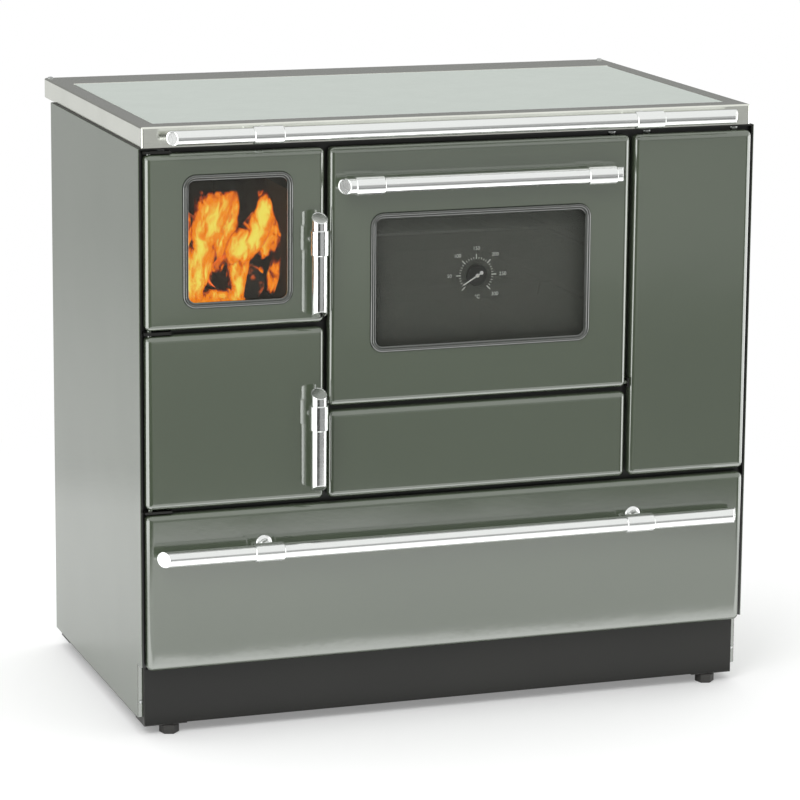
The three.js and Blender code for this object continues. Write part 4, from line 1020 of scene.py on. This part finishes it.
# ---------- Floor, light and studio ----------
# A white floor under two soft boxes. Seen in the stove's gloss, floor and world are a showroom: a lit lane
# straight ahead, dim floor on both sides of it, pale walls further round and a bright strip at the plinth.
def between(value, low, high, soft):
    """1 from low to high, fading to 0 at either end."""
    return value.step(low - soft, low + soft) * (1.0 - value.step(high - soft, high + soft))


def sector(bearing, start, end, soft=4):
    """1 from start to end in degrees, to the right of straight ahead, fading to 0 at either end."""
    return between(bearing, math.radians(start), math.radians(end), math.radians(soft))


def grey(level):
    return (level, level * 1.01, level)


floor_material = bpy.data.materials.new("pale_floor")
floor_material.use_nodes = True
tree = floor_material.node_tree
shader = tree.nodes["Principled BSDF"]
shader.inputs["Base Color"].default_value = (0.93, 0.93, 0.93, 1.0)
shader.inputs["Roughness"].default_value = 0.9
shader.inputs["Specular IOR Level"].default_value = 0.1
place = Wire(tree, tree.nodes.new("ShaderNodeTexCoord").outputs["Object"])
seen = place.node("LightPath", output="Is Camera Ray")
mirrored = place.node("LightPath", output="Is Glossy Ray")
x, y, _ = place.split()
away = place.node("VectorMath", {0: place}, output=1, operation="LENGTH")
ahead = y * -1.0 - 0.27
bearing = x.math("ARCTAN2", ahead + 0.6)
lane = ahead.step(2.4, 3.6).mix(ahead.step(0.9, 1.2).mix(grey(0.92), grey(0.3)), grey(0.5))
front = sector(bearing, -10, 32).mix(grey(0.04), lane)
back = (away.step(1.5, 4.5) * y.step(0.0, 1.0)).mix(grey(0.95), grey(0.72))
left_end = away.step(2.0, 2.8).mix(grey(1.5), grey(0.02))
left = sector(bearing, -95, -34).mix(left_end, grey(3.5))
right = sector(bearing, 34, 125).mix(back, grey(3.5))
sides = sector(bearing, -125, 0).mix(right, left)
apron = between(ahead, 0.02, 0.38, 0.03)
room = apron.mix(sector(bearing, -42, 47).mix(sides, front), grey(2.5))
shows = mirrored * (away.step(1.2, 1.6) + apron).clamped()
lit = seen.node("Emission", {"Color": seen.mix(room, (1.0, 1.0, 1.0)), "Strength": 1.0})
share = shows + seen * (away.step(0.5, 1.6) * 0.75 + 0.25)
blend = seen.node("MixShader", {0: share, 1: Wire(tree, shader.outputs[0]), 2: lit})
tree.links.new(blend.socket, tree.nodes["Material Output"].inputs["Surface"])
bm = bmesh.new()
bmesh.ops.create_grid(bm, x_segments=1, y_segments=1, size=30)
mesh = bpy.data.meshes.new("floor")
bm.to_mesh(mesh)
bm.free()
mesh.materials.append(floor_material)
floor_material.cycles.emission_sampling = "NONE"
floor = bpy.data.objects.new("floor", mesh)
bpy.context.scene.collection.objects.link(floor)

world = bpy.data.worlds.new("studio")
bpy.context.scene.world = world
world.use_nodes = True
tree = world.node_tree
background = tree.nodes["Background"]
direction = Wire(tree, tree.nodes.new("ShaderNodeTexCoord").outputs["Generated"])
x, y, z = direction.split()
walls = (y * -1.0).step(-0.2, 0.7).mix(grey(0.86), grey(0.36))
sky = z.step(0.0, 0.7).mix(walls, grey(0.9))
bearing = x.math("ARCTAN2", y * -1.0)
low_front = sector(bearing, -48, 54, 8) * (1.0 - z.step(0.02, 0.3))
low_back = y.step(0.2, 0.7) * (1.0 - z.step(0.35, 0.6))
low_sides = abs(x).step(0.75, 0.9) * (1.0 - z.step(0.3, 0.6))
room = low_back.mix(low_front.mix(low_sides.mix(grey(0.95), grey(2.0)), grey(0.35)), grey(0.28))
seen = direction.node("LightPath", output="Is Camera Ray")
mirrored = direction.node("LightPath", output="Is Glossy Ray")
feed(tree, seen.mix(mirrored.mix(sky, room), (1.0, 1.0, 1.0)), background.inputs["Color"])
background.inputs["Strength"].default_value = 1.0


def soft_box(name, place, size, power):
    """A square or oblong light that hangs at a place and looks at the stove's middle."""
    aim = Vector((0, 0, 0.4))
    data = bpy.data.lights.new(name, "AREA")
    data.shape = "RECTANGLE"
    data.size, data.size_y = size
    data.energy = power
    made = bpy.data.objects.new(name, data)
    bpy.context.scene.collection.objects.link(made)
    made.location = place
    made.rotation_mode = "QUATERNION"
    made.rotation_quaternion = (aim - Vector(place)).to_track_quat("-Z", "Y")
    made.visible_glossy = False


soft_box("key", (-1.8, -2.2, 2.6), (1.6, 1.6), 45)
soft_box("top", (0.2, 0.3, 3.2), (3.0, 2.4), 45)

bpy.context.scene.view_settings.view_transform = "Standard"
